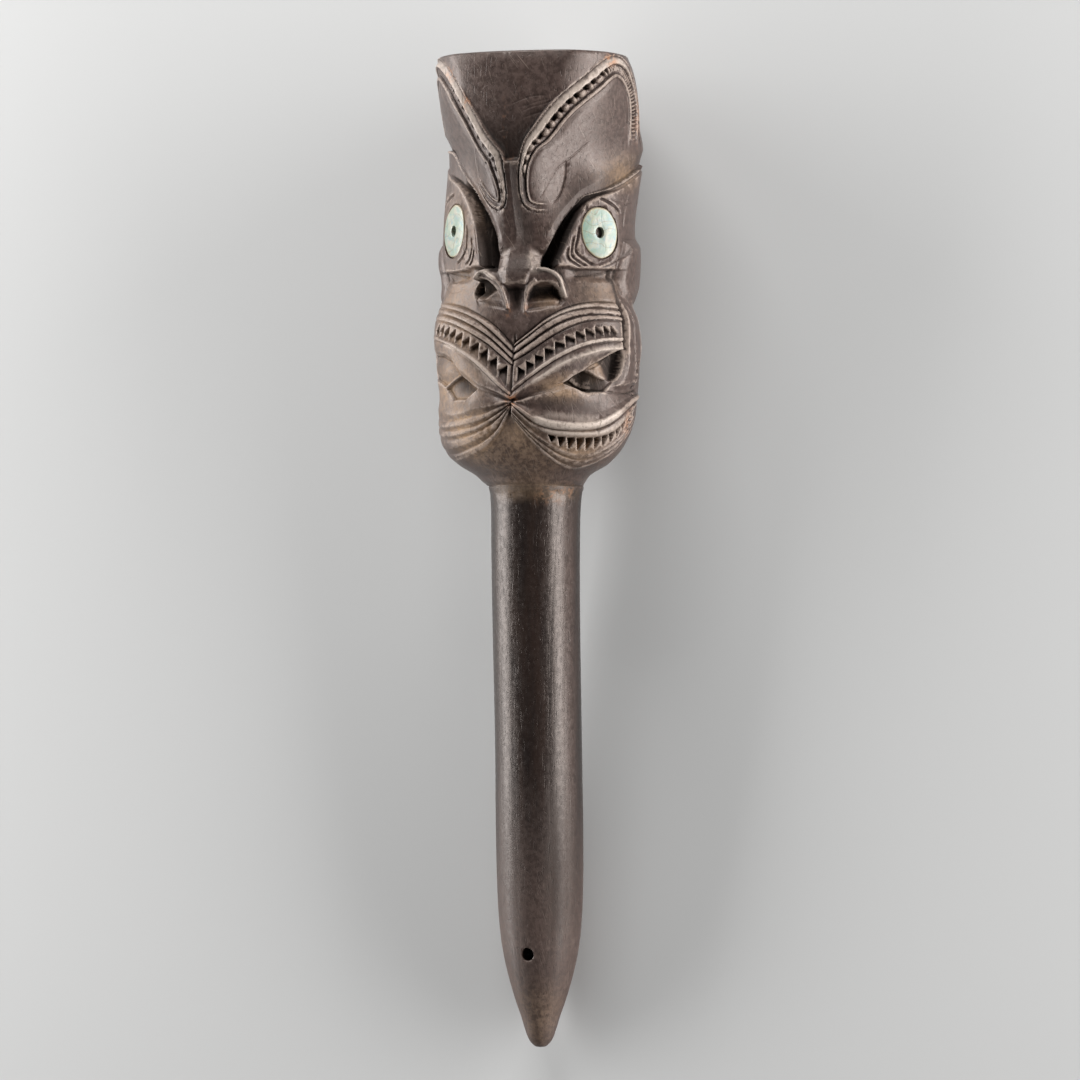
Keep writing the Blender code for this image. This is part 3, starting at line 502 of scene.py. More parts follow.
# the lips: each line gives its height at some angles from the middle of the face, and the levels give how far
# the wood stands out on each line, counted from 0, and between them
lips = {
    "right": {
        "upper": [
            {0: 257.0, 12: 260.2, 22: 262.8, 32: 265.0, 44: 268.2, 56: 271.7, 71: 276.6},  # over the mouth
            {0: 258.6, 12: 263.4, 22: 267.3, 32: 271.3, 44: 274.8, 56: 277.1, 71: 277.8},  # first crest
            {0: 260.2, 12: 265.8, 22: 270.2, 32: 274.2, 44: 277.9, 56: 279.9, 71: 280.8},
            {0: 262.0, 12: 267.6, 22: 272.0, 32: 276.0, 44: 279.7, 56: 281.6, 71: 282.2},  # foot of the teeth
            {0: 272.2, 12: 276.0, 22: 280.0, 32: 283.8, 44: 287.2, 56: 288.6, 71: 288.2},  # head of the teeth
            {0: 275.2, 12: 279.8, 22: 284.0, 32: 287.6, 44: 290.2, 56: 291.0, 71: 290.4},
            {0: 278.2, 12: 283.0, 22: 287.4, 32: 290.8, 44: 293.0, 56: 293.6, 71: 292.8},
            {0: 279.8, 12: 284.4, 22: 288.8, 32: 292.2, 44: 294.8, 56: 296.0, 71: 296.0},
        ],
        "upperLevels": {
            -1: 0, -0.5: -0.45, 0: -0.45, 0.9: 1.9, 1.0: 2.3, 1.15: 1.9, 1.85: 1.5, 2.0: 0.8, 2.15: 1.8,
            2.8: 2.0, 3.0: 1.4, 4.0: 1.2, 4.08: 0.3, 4.35: 1.9, 4.8: 1.6, 5.0: 0.2, 5.3: 1.7, 5.8: 1.4,
            6.0: 0.1, 6.3: 1.4, 6.7: 1.0, 7.0: -0.6, 7.6: -0.2, 8.0: 0,
        },
        "footPlace": 3,
        "teeth": (3.4, 9.4, 15.4, 21.8, 28.2, 34.6, 40.8, 46.6, 52.2, 57.2, 61.4, 65.4),
        "teethHigh": 0.72,
        "lower": [
            {
                0: 250.5, 12: 242.4, 25: 235.2, 35: 232.0, 46: 230.2, 53: 229.9, 62: 231.4, 74: 236.0,
                84: 243, 96: 250,
            },
            {
                0: 251.3, 12: 243.6, 25: 237.0, 35: 233.6, 46: 231.8, 53: 231.6, 62: 233.4, 74: 238.4,
                84: 245.5, 96: 252,
            },
            {
                0: 252.2, 12: 244.9, 25: 239.2, 35: 236.0, 46: 234.2, 53: 234.1, 62: 235.8, 74: 241.0,
                84: 248, 96: 254,
            },
            {
                0: 253.2, 12: 246.6, 25: 241.4, 35: 238.4, 46: 236.8, 53: 236.7, 62: 238.4, 74: 243.6,
                84: 250.5, 96: 256,
            },
            {
                0: 254.8, 9: 249.8, 16: 246.3, 23: 244.4, 31: 243.2, 40: 242.8, 53: 242.7, 60: 243.4,
                67: 245.2, 76: 249.4, 84: 253.6, 96: 258,
            },
            {
                0: 255.8, 6: 252.8, 13: 249.2, 20: 247.1, 26: 245.9, 33: 245.3, 42: 245.1, 51: 245.4,
                57: 246.2, 63: 247.8, 72: 251.4, 80: 255, 96: 259.5,
            },
            {
                0: 256.4, 6: 254.6, 13: 252, 20: 250.4, 26: 249.5, 33: 248.8, 42: 248.5, 51: 249, 56: 249.9,
                62: 251.6, 69: 254, 75: 256.4, 84: 259.2, 96: 261,
            },
            {
                0: 257.0, 6: 257.8, 12: 259.4, 22: 261.4, 32: 263.2, 40: 264.2, 45: 262.2, 51: 260.8,
                62: 260.6, 74: 260.2, 84: 261.6, 96: 262,
            },
        ],
        "lowerLevels": {
            -1: 0, 0: 0, 0.5: 0.8, 0.85: 0.6, 1.0: 0.1, 1.15: 0.7, 1.6: 1.0, 1.85: 0.75, 2.0: 0.15, 2.2: 0.95,
            2.65: 1.25, 2.95: 0.8, 3.1: 0.8, 4.0: 1.0, 4.1: 1.5, 4.5: 2.0, 4.85: 1.8, 4.97: 1.3, 5.03: 0.9,
            5.14: 2.0, 5.4: 2.8, 5.7: 2.95, 5.93: 2.6, 6.03: 2.1, 6.27: 1.15, 6.34: 1.05, 6.7: 1.3, 6.86: 0.8,
            7.0: -1.3, 7.5: -1.6, 8.0: 0,
        },
        "lowerTeeth": (23.6, 29.8, 36, 42.2, 48, 53.4, 58.4, 63, 67.6, 72.2, 76.8, 81.4, 86),
    },
    "left": {
        "upper": [
            {0: 257.0, 10: 259.6, 25: 262.2, 33: 265.4, 39: 267.6, 47: 273.7, 58: 275.8, 78: 277.6},
            {0: 258.6, 8: 262.2, 14: 265.4, 19: 268.2, 24: 271.0, 29: 273.6, 40: 277.8, 52: 280.6, 78: 283.0},
            {0: 260.4, 8: 264.2, 14: 267.4, 19: 270.2, 24: 272.8, 31: 275.8, 40: 279.2, 48: 281.2, 78: 285.2},
            {0: 270.4, 10: 275.0, 18: 278.8, 26: 281.8, 33: 284.2, 50: 288.0, 78: 290.4},
            {0: 273.0, 11: 278.8, 18: 282.2, 26: 285.2, 36: 288.0, 50: 290.8, 78: 293.4},
            {0: 275.6, 11: 281.2, 19: 285.2, 27: 288.6, 45: 292.6, 78: 296.0},
            {0: 278.0, 8: 282.8, 15: 286.6, 24: 290.0, 32: 292.2, 45: 294.8, 78: 298.0},
        ],
        "upperLevels": {
            -1: 0, -0.5: -0.5, 0: -0.4, 0.25: 1.2, 0.9: 1.8, 1.0: 1.2, 1.25: 2.1, 1.8: 1.9, 2.0: 1.2,
            3.0: 1.2, 3.08: 0.3, 3.35: 1.8, 3.8: 1.5, 4.0: 0.2, 4.3: 1.6, 4.8: 1.3, 5.0: 0.2, 5.35: 1.4,
            5.75: 1.0, 6.0: -0.5, 6.6: -0.1, 7.0: 0,
        },
        "footPlace": 2,
        "teeth": (3.6, 11.0, 17.8, 24.2, 30.6, 36.6, 42.4, 47.8, 53.4, 59, 64.4),
        "teethHigh": 0.9,
        "lower": [
            {0: 255.0, 6: 248.2, 13: 242.4, 26: 237.0, 49: 233.6, 70: 233.0, 84: 238.0, 96: 246},
            {0: 255.4, 6: 250.4, 10: 246.8, 21: 242.0, 39: 238.2, 59: 236.6, 84: 241.0, 96: 248},
            {0: 255.8, 6: 252.4, 14: 248.8, 26: 245.2, 42: 242.8, 57: 242.4, 84: 246.4, 96: 252},
            {0: 256.2, 6: 253.8, 14: 251.0, 26: 247.8, 42: 246.2, 57: 246.0, 84: 249.6, 96: 255},
            {0: 256.6, 10: 254.6, 18: 252.6, 33: 250.8, 46: 250.0, 66: 249.8, 84: 253.0, 96: 258},
            {0: 257.0, 10: 258.6, 25: 261.0, 35: 257.6, 47: 257.4, 56: 261.6, 66: 263.0, 84: 263.0, 96: 263},
        ],
        "lowerLevels": {
            -1: 0, 0: 0, 0.4: 0.9, 0.8: 0.7, 1.0: 0.1, 1.4: 1.0, 1.8: 0.8, 2.0: 0.1, 2.4: 1.0, 2.8: 0.8,
            3.0: 0.1, 3.4: 1.2, 3.8: 1.0, 4.0: 0.4, 4.3: 1.5, 4.6: 1.0, 4.9: 0.2, 5.0: -0.2, 5.5: -0.2,
            6.0: 0,
        },
        "lowerTeeth": (),
    },
    "endsAt": 70,  # where the right upper lip stops, at the band down the cheek
    "upperTeethDepth": 2.8,
    "lowerTeethDepth": 3.8,
    "lowerTeethFoot": 3,
}


def cutUpperTeeth(radius, here, place, side):
    # sawtooth chips: each deepest under its slanting top edge, its floor rising to the foot of the row
    up = np.clip(place - side["footPlace"], 0, 1)
    high = side["teethHigh"]
    for near, far in zip(side["teeth"], side["teeth"][1:]):
        along = (here - near) / (far - near)
        top = high * (1 - 0.62 * np.clip(along, 0, 1))
        chip = ease(0, 0.09, along) * ease(0.98, 0.88, along) * ease(-0.03, 0.05, top - up)
        radius = radius - lips["upperTeethDepth"] * (0.2 + 0.8 * up / high) * chip * ease(0, 0.12, up)
    return radius


def cutLowerTeeth(radius, here, place, spots):
    # narrow chips that hang point down, each behind a thin wall
    up = np.clip(place - lips["lowerTeethFoot"], 0, 1)
    leaning = here - 3.4 * (1 - up)
    for near, far in zip(spots, spots[1:]):
        along = (leaning - near) / (far - near)
        start = 0.12 + 0.08 * up
        end = start + 0.84 * np.clip((up - 0.08) / 0.7, 0, 1)
        chip = ease(start, start + 0.1, along) * ease(end, end - 0.12, along) * ease(1.0, 0.95, up)
        radius = radius - lips["lowerTeethDepth"] * (0.6 + 0.4 * up) * chip * (up > 0.08)
    return radius


mouth = {
    "rightRecess": [
        (33.8, 263.9), (40.4, 266.9), (46.5, 268.9), (50.3, 271), (56.3, 273), (62, 275.3), (67, 277.1),
        (72.2, 277.5), (72.5, 274.2), (71.6, 271.4), (70.6, 269), (68.3, 266.5), (66, 264.7), (63.6, 263),
        (60.2, 260.6), (53.3, 260.3), (49.5, 260.2), (45.5, 260.7), (40.6, 262.0),
    ],
    "rightTongue": [
        (46.8, 269), (51.7, 267.5), (54.6, 266.3), (59.5, 265.2), (63.1, 264.9), (65.8, 265), (68.2, 266.5),
        (70.6, 269), (71.6, 271.4), (72.5, 274.2), (72.2, 277.5), (67, 277.1), (62, 275.3), (56.3, 273),
        (50.3, 271),
    ],
    "rightDepth": 5.2,
    "tongueDrop": 0.7,
    "tongueHole": 4.6,
    "leftDepth": 1.6,
    "rightSweep": [
        (50.7, 261.4), (58.2, 260.9), (62.6, 260.7), (69.3, 260.0), (78, 260.4), (86, 261.4), (93, 262.3),
    ],
    "leftDiamond": [(25, 261.9), (39, 267.6), (56, 262.6), (47.4, 257.4), (35.4, 257.5)],
    "leftTongue": [
        (39.5, 267.4), (42.6, 270.6), (47.1, 273.6), (58, 275.8), (78, 277), (78, 266.4), (61.8, 264.4),
        (56.4, 263),
    ],
}


def lipRise(here, place, levels, nearMouth):
    # how far the wood stands out, where the groove between the lips runs out towards the middle
    rise = np.interp(place, list(levels), list(levels.values()))
    return np.where((rise < 0) & nearMouth, rise * (1 - 0.75 * ease(40, 22, here)), rise)


def carveLips(radius, here, height, side, isRight):
    if isRight:
        ends = ease(lips["endsAt"] + 0.8, lips["endsAt"] - 1.0, here)
    else:
        ends = ease(96, 84, here) * (1 - 0.7 * ease(50, 72, here))
    place = placeBetween(side["upper"], here, height)
    radius = radius + lipRise(here, place, side["upperLevels"], place < 1) * ends
    radius = cutUpperTeeth(radius, here, place, side)
    # the lower lip, and the fan of lines under it
    place = placeBetween(side["lower"], here, height)
    fade = ease(97, 86, here) * (1 if isRight else 1 - 0.6 * ease(52, 74, here))
    fade = fade * (1 - ease(44, 60, here) * ease(1.8, 1.15, len(side["lower"]) - place))
    radius = radius + lipRise(here, place, side["lowerLevels"], True) * fade
    return cutLowerTeeth(radius, here, place, side["lowerTeeth"])


def tongueSink(here, height):
    # 0 at the near edge of the hole behind the right tongue and 1 at its far edge
    return ((here - 56) * 0.53 + (height - 269) * 0.5) / 8.5


def carveMouth(radius, angle, height):
    # the open corners of the mouth, each with the tongue in it
    here = angle
    base = radius
    recess = insideOf(mouth["rightRecess"], here, height)
    floor = mouth["rightDepth"] - 2.4 * ease(46, 53, here) - 2.1 * ease(53, 66, here)
    radius = radius - floor * ease(-0.1, 0.7, recess)
    tongue = ease(-0.2, 0.5, insideOf(mouth["rightTongue"], here, height))
    hole = mouth["tongueHole"] * ease(-0.1, 1, tongueSink(here, height))
    radius = radius + (base - mouth["tongueDrop"] - hole - radius) * tongue
    radius = incise(radius, here, height, mouth["rightSweep"], 0.5, 1.3, 3.0)
    here = -angle
    diamond = insideOf(mouth["leftDiamond"], here, height)
    floor = mouth["leftDepth"] + 1.8 * ease(50, 30, here) * ease(257, 266, height)
    radius = radius - floor * ease(0, 0.8, diamond)
    tongue = insideOf(mouth["leftTongue"], here, height)
    return radius - 1.4 * ease(-0.1, 0.8, tongue) + 1.3 * ease(0.4, 5, tongue)


cheek = {
    "band": [
        (73, 299), (72.9, 277), (72.6, 274.2), (71.7, 271.4), (70.7, 269), (68.4, 266.5), (66, 264.7),
        (63.6, 262.8), (67, 261.4), (74, 261.2), (90, 263.6), (95, 280), (91, 298),
    ],
    "line": [(78, 297), (80.4, 289), (81, 281), (82, 273), (83, 265)],
    "rise": 1.5,
    "grooveDepth": 1.9,
    "nicks": 9,
    "nickDepth": 0.8,
}


def carveCheekBand(radius, here, height):
    band = insideOf(cheek["band"], here, height)
    starts = ease(300, 290, height)
    groove = cheek["grooveDepth"] * bump(band, -0.6, 1.5) * ease(96, 82, here) * ease(274, 280, height)
    shoulder = 1.4 + 1.6 * ease(280, 270, height)
    radius = radius + cheek["rise"] * ease(0, shoulder, band) * starts - groove * starts
    radius = incise(radius, here, height, cheek["line"], 0.6, 1.3, 4)
    for spot in range(cheek["nicks"]):
        nick = bump(here, 86.4 - 0.5 * spot, 2.8) * bump(height, 272.5 - 3.2 * spot, 1.2)
        radius = radius - cheek["nickDepth"] * nick
    return radius


# cuts and scratches over the head, as (line, depth, width) and, where it isn't the usual one, the fade
scratches = {
    "underNose": [[(0, 284), (0.3, 276), (-0.4, 268), (0, 258)], 0.9, 1.8, 2.5],
    "lowerLipNotch": [[(0, 258.5), (0.4, 256.6), (0, 254.4)], 1.4, 3.4, 1.0],
    "rightBrowHook": [
        [(37.4, 352), (38, 346), (36.4, 341.8), (34.4, 338.6), (31, 336), (27.6, 334.8)], 0.5, 1.0,
    ],
    "rightLongScratch": [[(30, 347.8), (42, 353.2), (55, 359.4)], 0.22, 0.8],
    "rightShortScratch": [[(19, 337), (26, 343.6), (33, 349.8)], 0.14, 0.8],
    "rightTipScratch": [[(78, 364.8), (88, 369)], 0.2, 0.8],
    "leftBrowHook": [
        [(-26, 358), (-29, 353.2), (-30, 348.5), (-28.6, 344), (-24, 340.2), (-18, 337.6), (-12, 335.4)],
        0.4, 1.0,
    ],
    "foreheadFan1": [[(0, 373), (5, 374.4), (10, 375.5), (16, 376.4), (23, 376.4)], 0.3, 0.9],
    "foreheadFan2": [[(4, 371.6), (10, 372.6), (17, 374), (25, 375.2)], 0.2, 0.8],
    "foreheadFan3": [[(7, 370.2), (14, 372), (22, 373.3), (28, 375.4)], 0.25, 0.8],
    "foreheadFan4": [[(8, 367.6), (14, 369), (22, 370.8), (27, 373)], 0.2, 0.8],
    "foreheadLine": [[(-9, 362.4), (-6, 363.2), (-2, 363.4)], 0.25, 0.8],
    "nick1": [[(1.6, 365), (4, 370.4)], 0.2, 0.7],
    "nick2": [[(-19, 379), (-15, 381.6)], 0.25, 1.0],
    "nick3": [[(12, 378), (14.4, 380.6)], 0.2, 0.9],
    "leftCheekLine1": [[(-74, 311.5), (-70, 307.6), (-62, 305), (-50, 306)], 0.4, 1.3],
    "leftCheekLine2": [[(-78, 306), (-70, 302.6), (-58, 301), (-44, 302.4)], 0.25, 1.2],
    "lipCrack": [[(56, 252.4), (55.4, 246), (56.4, 243)], 0.4, 0.6],
}


def ripple(angle, height, grain):
    # a little unevenness left by the blade: long shallow facets and small chatter, the same on every run
    x, y = angle * mmPerDegree, height
    waves = 0
    for k in range(9):
        turn = 1.9 * k + 0.7
        size = grain * (0.7 + 0.13 * k)
        bend = 1.4 * np.sin(y / (9.0 + k) + 2.1 * k)
        waves = waves + np.sin((x * math.cos(turn) + y * math.sin(turn) * 0.55) / size + bend + 1.7 * k)
    return waves / 9


shaft = {"facetAngle": 24.0, "facetDepth": 0.06, "ringDepth": 0.4, "roughDepth": 0.4, "chatterDepth": 0.2}


def carveShaft(radius, angle, height):
    # long knife facets round the shaft, a ring cut where the chin stands on it, rough cuts just below
    bend = 5.0 * np.sin(height / 47.0) + 3.0 * np.sin(height / 21.0 + 1.2)
    turn = (angle + bend + 180) / shaft["facetAngle"]
    facet = np.abs(turn - np.round(turn)) * 2
    radius = radius - shaft["facetDepth"] * (1 - facet) ** 2 * ease(226, 219, height) * ease(6, 30, height)
    radius = radius - shaft["ringDepth"] * bump(height, 224.4, 1.4)
    rough = ease(-0.1, 0.5, ripple(angle * 0.25, height * 1.7, 0.8))
    rough = rough * ease(-0.35, 0.35, ripple(angle * 0.6 + 40, height, 2.2))
    radius = radius - shaft["roughDepth"] * rough * bump(height, 220.6, 4.2)
    chatter = np.abs(np.sin(height * 1.05 + np.sin(angle * 0.2) * 1.6)) ** 6
    patch = bump(angle, -32, 20) * bump(height, 186, 32) + 0.8 * bump(angle, 55, 16) * bump(height, 214, 12)
    return radius - shaft["chatterDepth"] * chatter * patch * ease(-0.2, 0.5, ripple(angle, height, 2.4))


def carved(angle, height):
    # the whole carved surface: each side of the face, then what crosses the middle, the scratches, the shaft
    radius = uncarved(angle, height)
    head = height[:, 0] > stick["chin"] - 2
    a, h = angle[head], height[head]
    r = carveBridge(radius[head], a, h)
    for name in ("right", "left"):
        sign = eyes[name]["sign"]
        here = sign * a
        cols = (here[0] > -12) & (here[0] < 132)
        part, up, old = here[:, cols], h[:, cols], r[:, cols]
        new = carveEyeMound(old, part, up, eyes[name])
        new = carveHollowUnderBrow(new, part, up, brows[name])
        new = carveBrow(new, part, up, brows[name])
        new = carveEar(new, part, up)
        new = carveLips(new, part, up, lips[name], sign > 0)
        if name == "right":
            new = carveCheekBand(new, part, up)
        r[:, cols] = np.where(part > 0 if name == "left" else part >= 0, new, old)
    r = carveMouth(r, a, h)
    r = carveNose(r, a, h)
    for cut in scratches.values():
        r = incise(r, a, h, *cut)
    # rough cuts on the chin's left, and a slight unevenness all over
    fanned = bump(a, -19, 12) * bump(h, 247.5, 5.5)
    r = r - stick["chinCuts"] * fanned * ease(-0.1, 0.5, ripple(a, h, 0.75))
    for rise, grain in stick["unevenness"]:
        r = r + rise * ripple(a, h, grain)
    radius[head] = r
    return carveShaft(radius, angle, height)


def spaced(stops):
    # places from each stop to the next, at the spacing given with it
    places = []
    for (start, gap), (end, _) in zip(stops, stops[1:]):
        places.extend(np.linspace(start, end, max(1, round((end - start) / gap)), endpoint=False))
    return np.array(places + [stops[-1][0]])


print("carving the wood")
heights = spaced(stick["heightSpacing"])
half = spaced(stick["angleSpacing"])
angles = np.concatenate([-half[:0:-1], half[:-1]])
gridAngle, gridHeight = np.meshgrid(angles, heights)
gridRadius = carved(gridAngle, gridHeight)


def blurred(grid, times):
    # each pass evens out the grid with its neighbours on all sides
    for _ in range(times):
        grid = (np.roll(grid, 1, axis=1) + grid + np.roll(grid, -1, axis=1)) / 3
        padded = np.concatenate([grid[:1], grid, grid[-1:]])
        grid = (padded[:-2] + padded[1:-1] + padded[2:]) / 3
    return grid


def alongLip(name, row, start, end, down=0.0):
    # the points of one line of an upper lip between two angles
    line = lips[name]["upper"][row]
    sign = eyes[name]["sign"]
    return [(sign * angle, line[angle] - down) for angle in line if start <= angle <= end]


# ridges rubbed pale by handling and brightened by a painted highlight, as (line, width, strength)
paleAndHighlitRidges = {
    "lowerLipBead": (
        [
            (14, 250.2), (20, 248.9), (26, 247.9), (33, 247.3), (42, 247), (51, 247.4), (57, 248.3),
            (63, 250), (72, 253.4),
        ], 3.2, 1.0,
    ),
    "lowerLipStrip": ([(20, 251.6), (29, 251.2), (38, 250.6), (48, 249.9), (57, 250.2)], 3.0, 0.28),
    "lowerLipRidge": (
        [(20, 246.2), (26, 245), (33, 244.4), (42, 244.1), (53, 244.2), (60, 245), (68, 247.4), (76, 251)],
        1.6, 0.7,
    ),
    "upperLipRib": (alongLip("right", 1, 12, 71), 1.5, 0.8),
    "upperLipFoot": (alongLip("right", 3, 12, 71, 0.7), 1.3, 0.8),
    "upperLipTop": (alongLip("right", 7, 22, 56, 1.0), 1.2, 0.5),
    "rightWing": (nose["right"]["rims"]["wing"][0], 1.8, 0.7),
    "noseRightFacet": ([(13, 317), (15.5, 311), (17, 306)], 5.5, 0.4),
    "noseLeftFacet": ([(-8, 318), (-8.4, 306)], 4.5, 0.4),
    "leftLipRib": (alongLip("left", 1, 8, 52), 1.6, 0.7),
    "leftLipFoot": (alongLip("left", 2, 8, 48, 0.7), 1.3, 0.5),
    "leftNostril": ([(-a, h) for a, h in nose["left"]["rims"]["wing"][0][:6]], 2.0, 0.95),
    "cheekRidge": ([(88, 298), (91, 285), (90, 272)], 1.6, 0.4),
}
# strokes of painted shade in creases, bevels and under edges, and a few dark cracks, in the same form
shadeAndCrackStrokes = {
    "lowerLipFacet": ([(18, 256.6), (24, 256.2), (31, 256), (41, 255.6), (51, 254.6), (58, 254.2)], 5.6, 0.4),
    "browLine": (
        [(46, 334.6), (53, 337.6), (61, 339.2), (71, 341), (83, 344.2), (95, 347.6), (108, 351)], 1.8, 0.75,
    ),
    "browShade": (
        [(44, 337), (53, 341.6), (62, 343.6), (72, 345.4), (84, 348.8), (95, 352.4), (106, 356)], 8.5, 0.3,
    ),
    "browBevel": ([(29, 325), (37, 331), (45, 335.8), (53, 339.6)], 6.5, 0.35),
    "cheekGroove": ([(71.6, 306), (72.2, 299), (72.4, 289), (72.4, 278)], 1.7, 0.85),
    "neckLine": ([(-80, 223.4), (-40, 222.6), (0, 223.2), (40, 222.8), (80, 223.6)], 3.2, 0.3),
    "lipMiddle": ([(8, 272), (12, 278), (14, 284)], 7.0, 0.3),
    "valley": ([(5.6, 348), (6.6, 338), (8.4, 326), (10, 318)], 7.0, 0.4),
    "rightTempleLine": ([(62, 310), (68, 311.2), (76, 314), (84, 318)], 1.4, 0.4),
    "earNotch": ([(69, 310.4), (69.8, 307.6), (68.6, 304.4)], 2.2, 0.7),
    "lipCrack": ([(44.4, 251.6), (44.8, 249.8), (44.4, 248.2)], 0.8, 0.9),
    "ridgeCrack": ([(55.6, 248), (55.2, 245.6), (56.2, 243)], 0.9, 0.9),
    "lipEdgeNick": ([(66.6, 272.6), (67, 274.6)], 1.0, 0.8),
}


def strokeMask(line, width, strength, fadeFrom, fadeTo):
    # a stroke on the chart, strongest along its middle
    off, left = strokeAlong(line, gridAngle, gridHeight, width, fadeFrom, fadeTo)
    return strength * np.clip(1.3 - off**2, 0, 1) * left


def paleAndHighlightMask():
    pale = np.zeros(gridRadius.shape)
    for ridge in paleAndHighlitRidges.values():
        pale = np.maximum(pale, strokeMask(*ridge, 0, 3))
    # the brows' outer ridges, pale with wear and lit by a painted highlight
    for name, strength in (("right", 0.85), ("left", 0.75)):
        off, run, _ = followLine(brows[name]["border"], gridAngle * eyes[name]["sign"], gridHeight, 5)
        edge = ease(0.3, 0.9, off) * ease(3.4, 2.8, off) * ease(20, 34, run) * ease(118, 92, run)
        pale = np.maximum(pale, strength * edge)
    return pale


def trenchMask(name, darkTo, fadedBy):
    # painted shade in the cut between the brow and the eye, from edge to edge, fading between two angles
    here = gridAngle * eyes[name]["sign"]
    drop, _, _ = followLine(brows[name]["lowEdge"], here, gridHeight, 12)
    rise, _, _ = followLine(brows[name]["eyeSide"], here, gridHeight, 12)
    between = ease(-0.4, 0.1, drop) * ease(-0.6, 0.0, -rise) * (np.abs(drop) < 12) * (np.abs(rise) < 12)
    return between * ease(307, 309, gridHeight) * ease(fadedBy, darkTo, here)


def mouthCornerMask():
    # painted shade in the open right corner of the mouth, and deep behind the tongue
    edge = -0.8 * ease(64, 68, gridAngle)
    recess = insideOf(mouth["rightRecess"], gridAngle, gridHeight)
    ends = np.maximum(ease(65, 54, gridAngle), ease(64, 68, gridAngle))
    recess = ease(edge - 0.3, edge + 0.3, recess) * ends
    tongue = ease(-0.1, 0.4, insideOf(mouth["rightTongue"], gridAngle, gridHeight))
    return np.maximum(recess * (1 - tongue), tongue * ease(0.3, 0.85, tongueSink(gridAngle, gridHeight)))


def leftNostrilMask():
    # painted shade inside the left nostril, down to its sill
    inside = ease(-0.4, 0.4, insideOf(nose["left"]["hollow"], -gridAngle, gridHeight))
    return inside * ease(-1.6, 1.0, overSill("left", -gridAngle, gridHeight))


# how wear, dirt, painted shade and painted highlights are read off the carved surface: passes of evening out,
# and heights in mm
wearDirtAndShade = {
    "closePasses": 8,
    "widePasses": 70,
    "closeHollow": 0.35,
    "wideHollow": 1.6,
    "edge": 0.28,
    "deep": (1.0, 2.9),
}


def makeMasks():
    # where the wear and the dirt of the finish belong, and where shade and highlights are painted
    aside = np.abs(gridAngle)
    close = gridRadius - blurred(gridRadius, wearDirtAndShade["closePasses"])
    wide = gridRadius - blurred(gridRadius, wearDirtAndShade["widePasses"])
    sunk = uncarved(gridAngle, gridHeight) - gridRadius
    # painted shade: the trenches under the brows, the corner of the mouth, the left nostril and the shade
    # strokes
    trenches = np.maximum(trenchMask("right", 43, 55), 0.82 * trenchMask("left", 25, 38))
    shade = np.maximum(trenches, np.maximum(0.95 * mouthCornerMask(), 0.95 * leftNostrilMask()))
    for stroke in shadeAndCrackStrokes.values():
        shade = np.maximum(shade, strokeMask(*stroke, -0.5, 1))
    near, far = np.clip(-close / wearDirtAndShade["closeHollow"], 0, 1), np.clip(-wide / wearDirtAndShade["wideHollow"], 0, 1)
    # hollow and deep carry painted shade as well as settled dirt; proud carries a painted highlight as well
    # as wear; pale is wear and painted highlight; shade is painted shade
    masks = {
        "hollow": near * 0.6 + far * 0.6,
        "proud": np.clip(close / wearDirtAndShade["edge"], 0, 1),
        "deep": ease(*wearDirtAndShade["deep"], sunk) * ease(222, 230, gridHeight) * ease(354, 348, gridHeight),
        "pale": paleAndHighlightMask(),
        "shade": shade,
    }
    # the point tapers too fast, and the back is too coarse, for the first two to be read there
    readable = ease(10, 40, gridHeight) * ease(108, 98, aside)
    nostrilSills = np.minimum(1.6 * bump(aside, 21, 17) * bump(gridHeight, 296.4, 5.4), 0.95)
    nostrilFloor = ease(299.8, 297.4, gridHeight) * ease(287, 290, gridHeight)
    nostrilFloor = nostrilFloor * ease(41, 36, gridAngle) * ease(6, 9, gridAngle)
    septum = bump(gridAngle, 1, 12) * bump(gridHeight, 298, 13)
    lipEdge = lips["right"]["upper"][0]
    overLip = gridHeight - np.interp(aside, list(lipEdge), list(lipEdge.values()))
    middleOfMouth = bump(overLip, -0.6, 4) * ease(44, 26, aside)
    underBrow = ease(46, 60, aside) * ease(333, 338, gridHeight)
    valley = bump(gridAngle, 7, 17) * ease(322, 330, gridHeight) * ease(358, 351, gridHeight)
    weakened = {
        "hollow": (1 - readable, 0.5 * septum, 0.5 * middleOfMouth, 0.45 * valley),
        "proud": (1 - readable, nostrilSills, np.minimum(2 * blurred(trenches, 6), 1)),
        "deep": (0.85 * underBrow, 0.85 * nostrilFloor, 0.85 * septum, 0.8 * middleOfMouth),
    }
    for name, places in weakened.items():
        for place in places:
            masks[name] = masks[name] * (1 - place)
    return masks


gridMasks = makeMasks()


def stickPose():
    # from (sideways, up the stick, out of the face) in mm to the stick lying on its two flats, in metres
    headHeight, headDepth = stick["headRest"]
    pointHeight, pointDepth = stick["pointRest"]
    pitch = math.atan2(headDepth - pointDepth, headHeight - pointHeight)
    lying = Matrix.Rotation(-pitch, 4, "Y") @ Matrix(((0, 1, 0), (-1, 0, 0), (0, 0, 1))).to_4x4()
    touching = lying @ Vector((0, headHeight, -headDepth))
    nearest = lying @ Vector((0, stick["pointEnd"], 0))
    low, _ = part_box("carved_stick")
    move = Matrix.Translation((low.x, 0, low.z)) @ Matrix.Scale(mm, 4)
    return move @ Matrix.Translation((-nearest.x, 0, -touching.z)) @ lying


pose = stickPose()


def placed(points):
    matrix = np.array(pose)
    return points @ matrix[:3, :3].T + matrix[:3, 3]


def newPiece(name, verts, faces, slot=None, replaces=()):
    mesh = bpy.data.meshes.new(name)
    mesh.from_pydata(verts, [], faces)
    mesh.update()
    piece = bpy.data.objects.new(name, mesh)
    bpy.context.scene.collection.objects.link(piece)
    if replaces:
        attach(piece, "root")
        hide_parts(*replaces)
    return piece


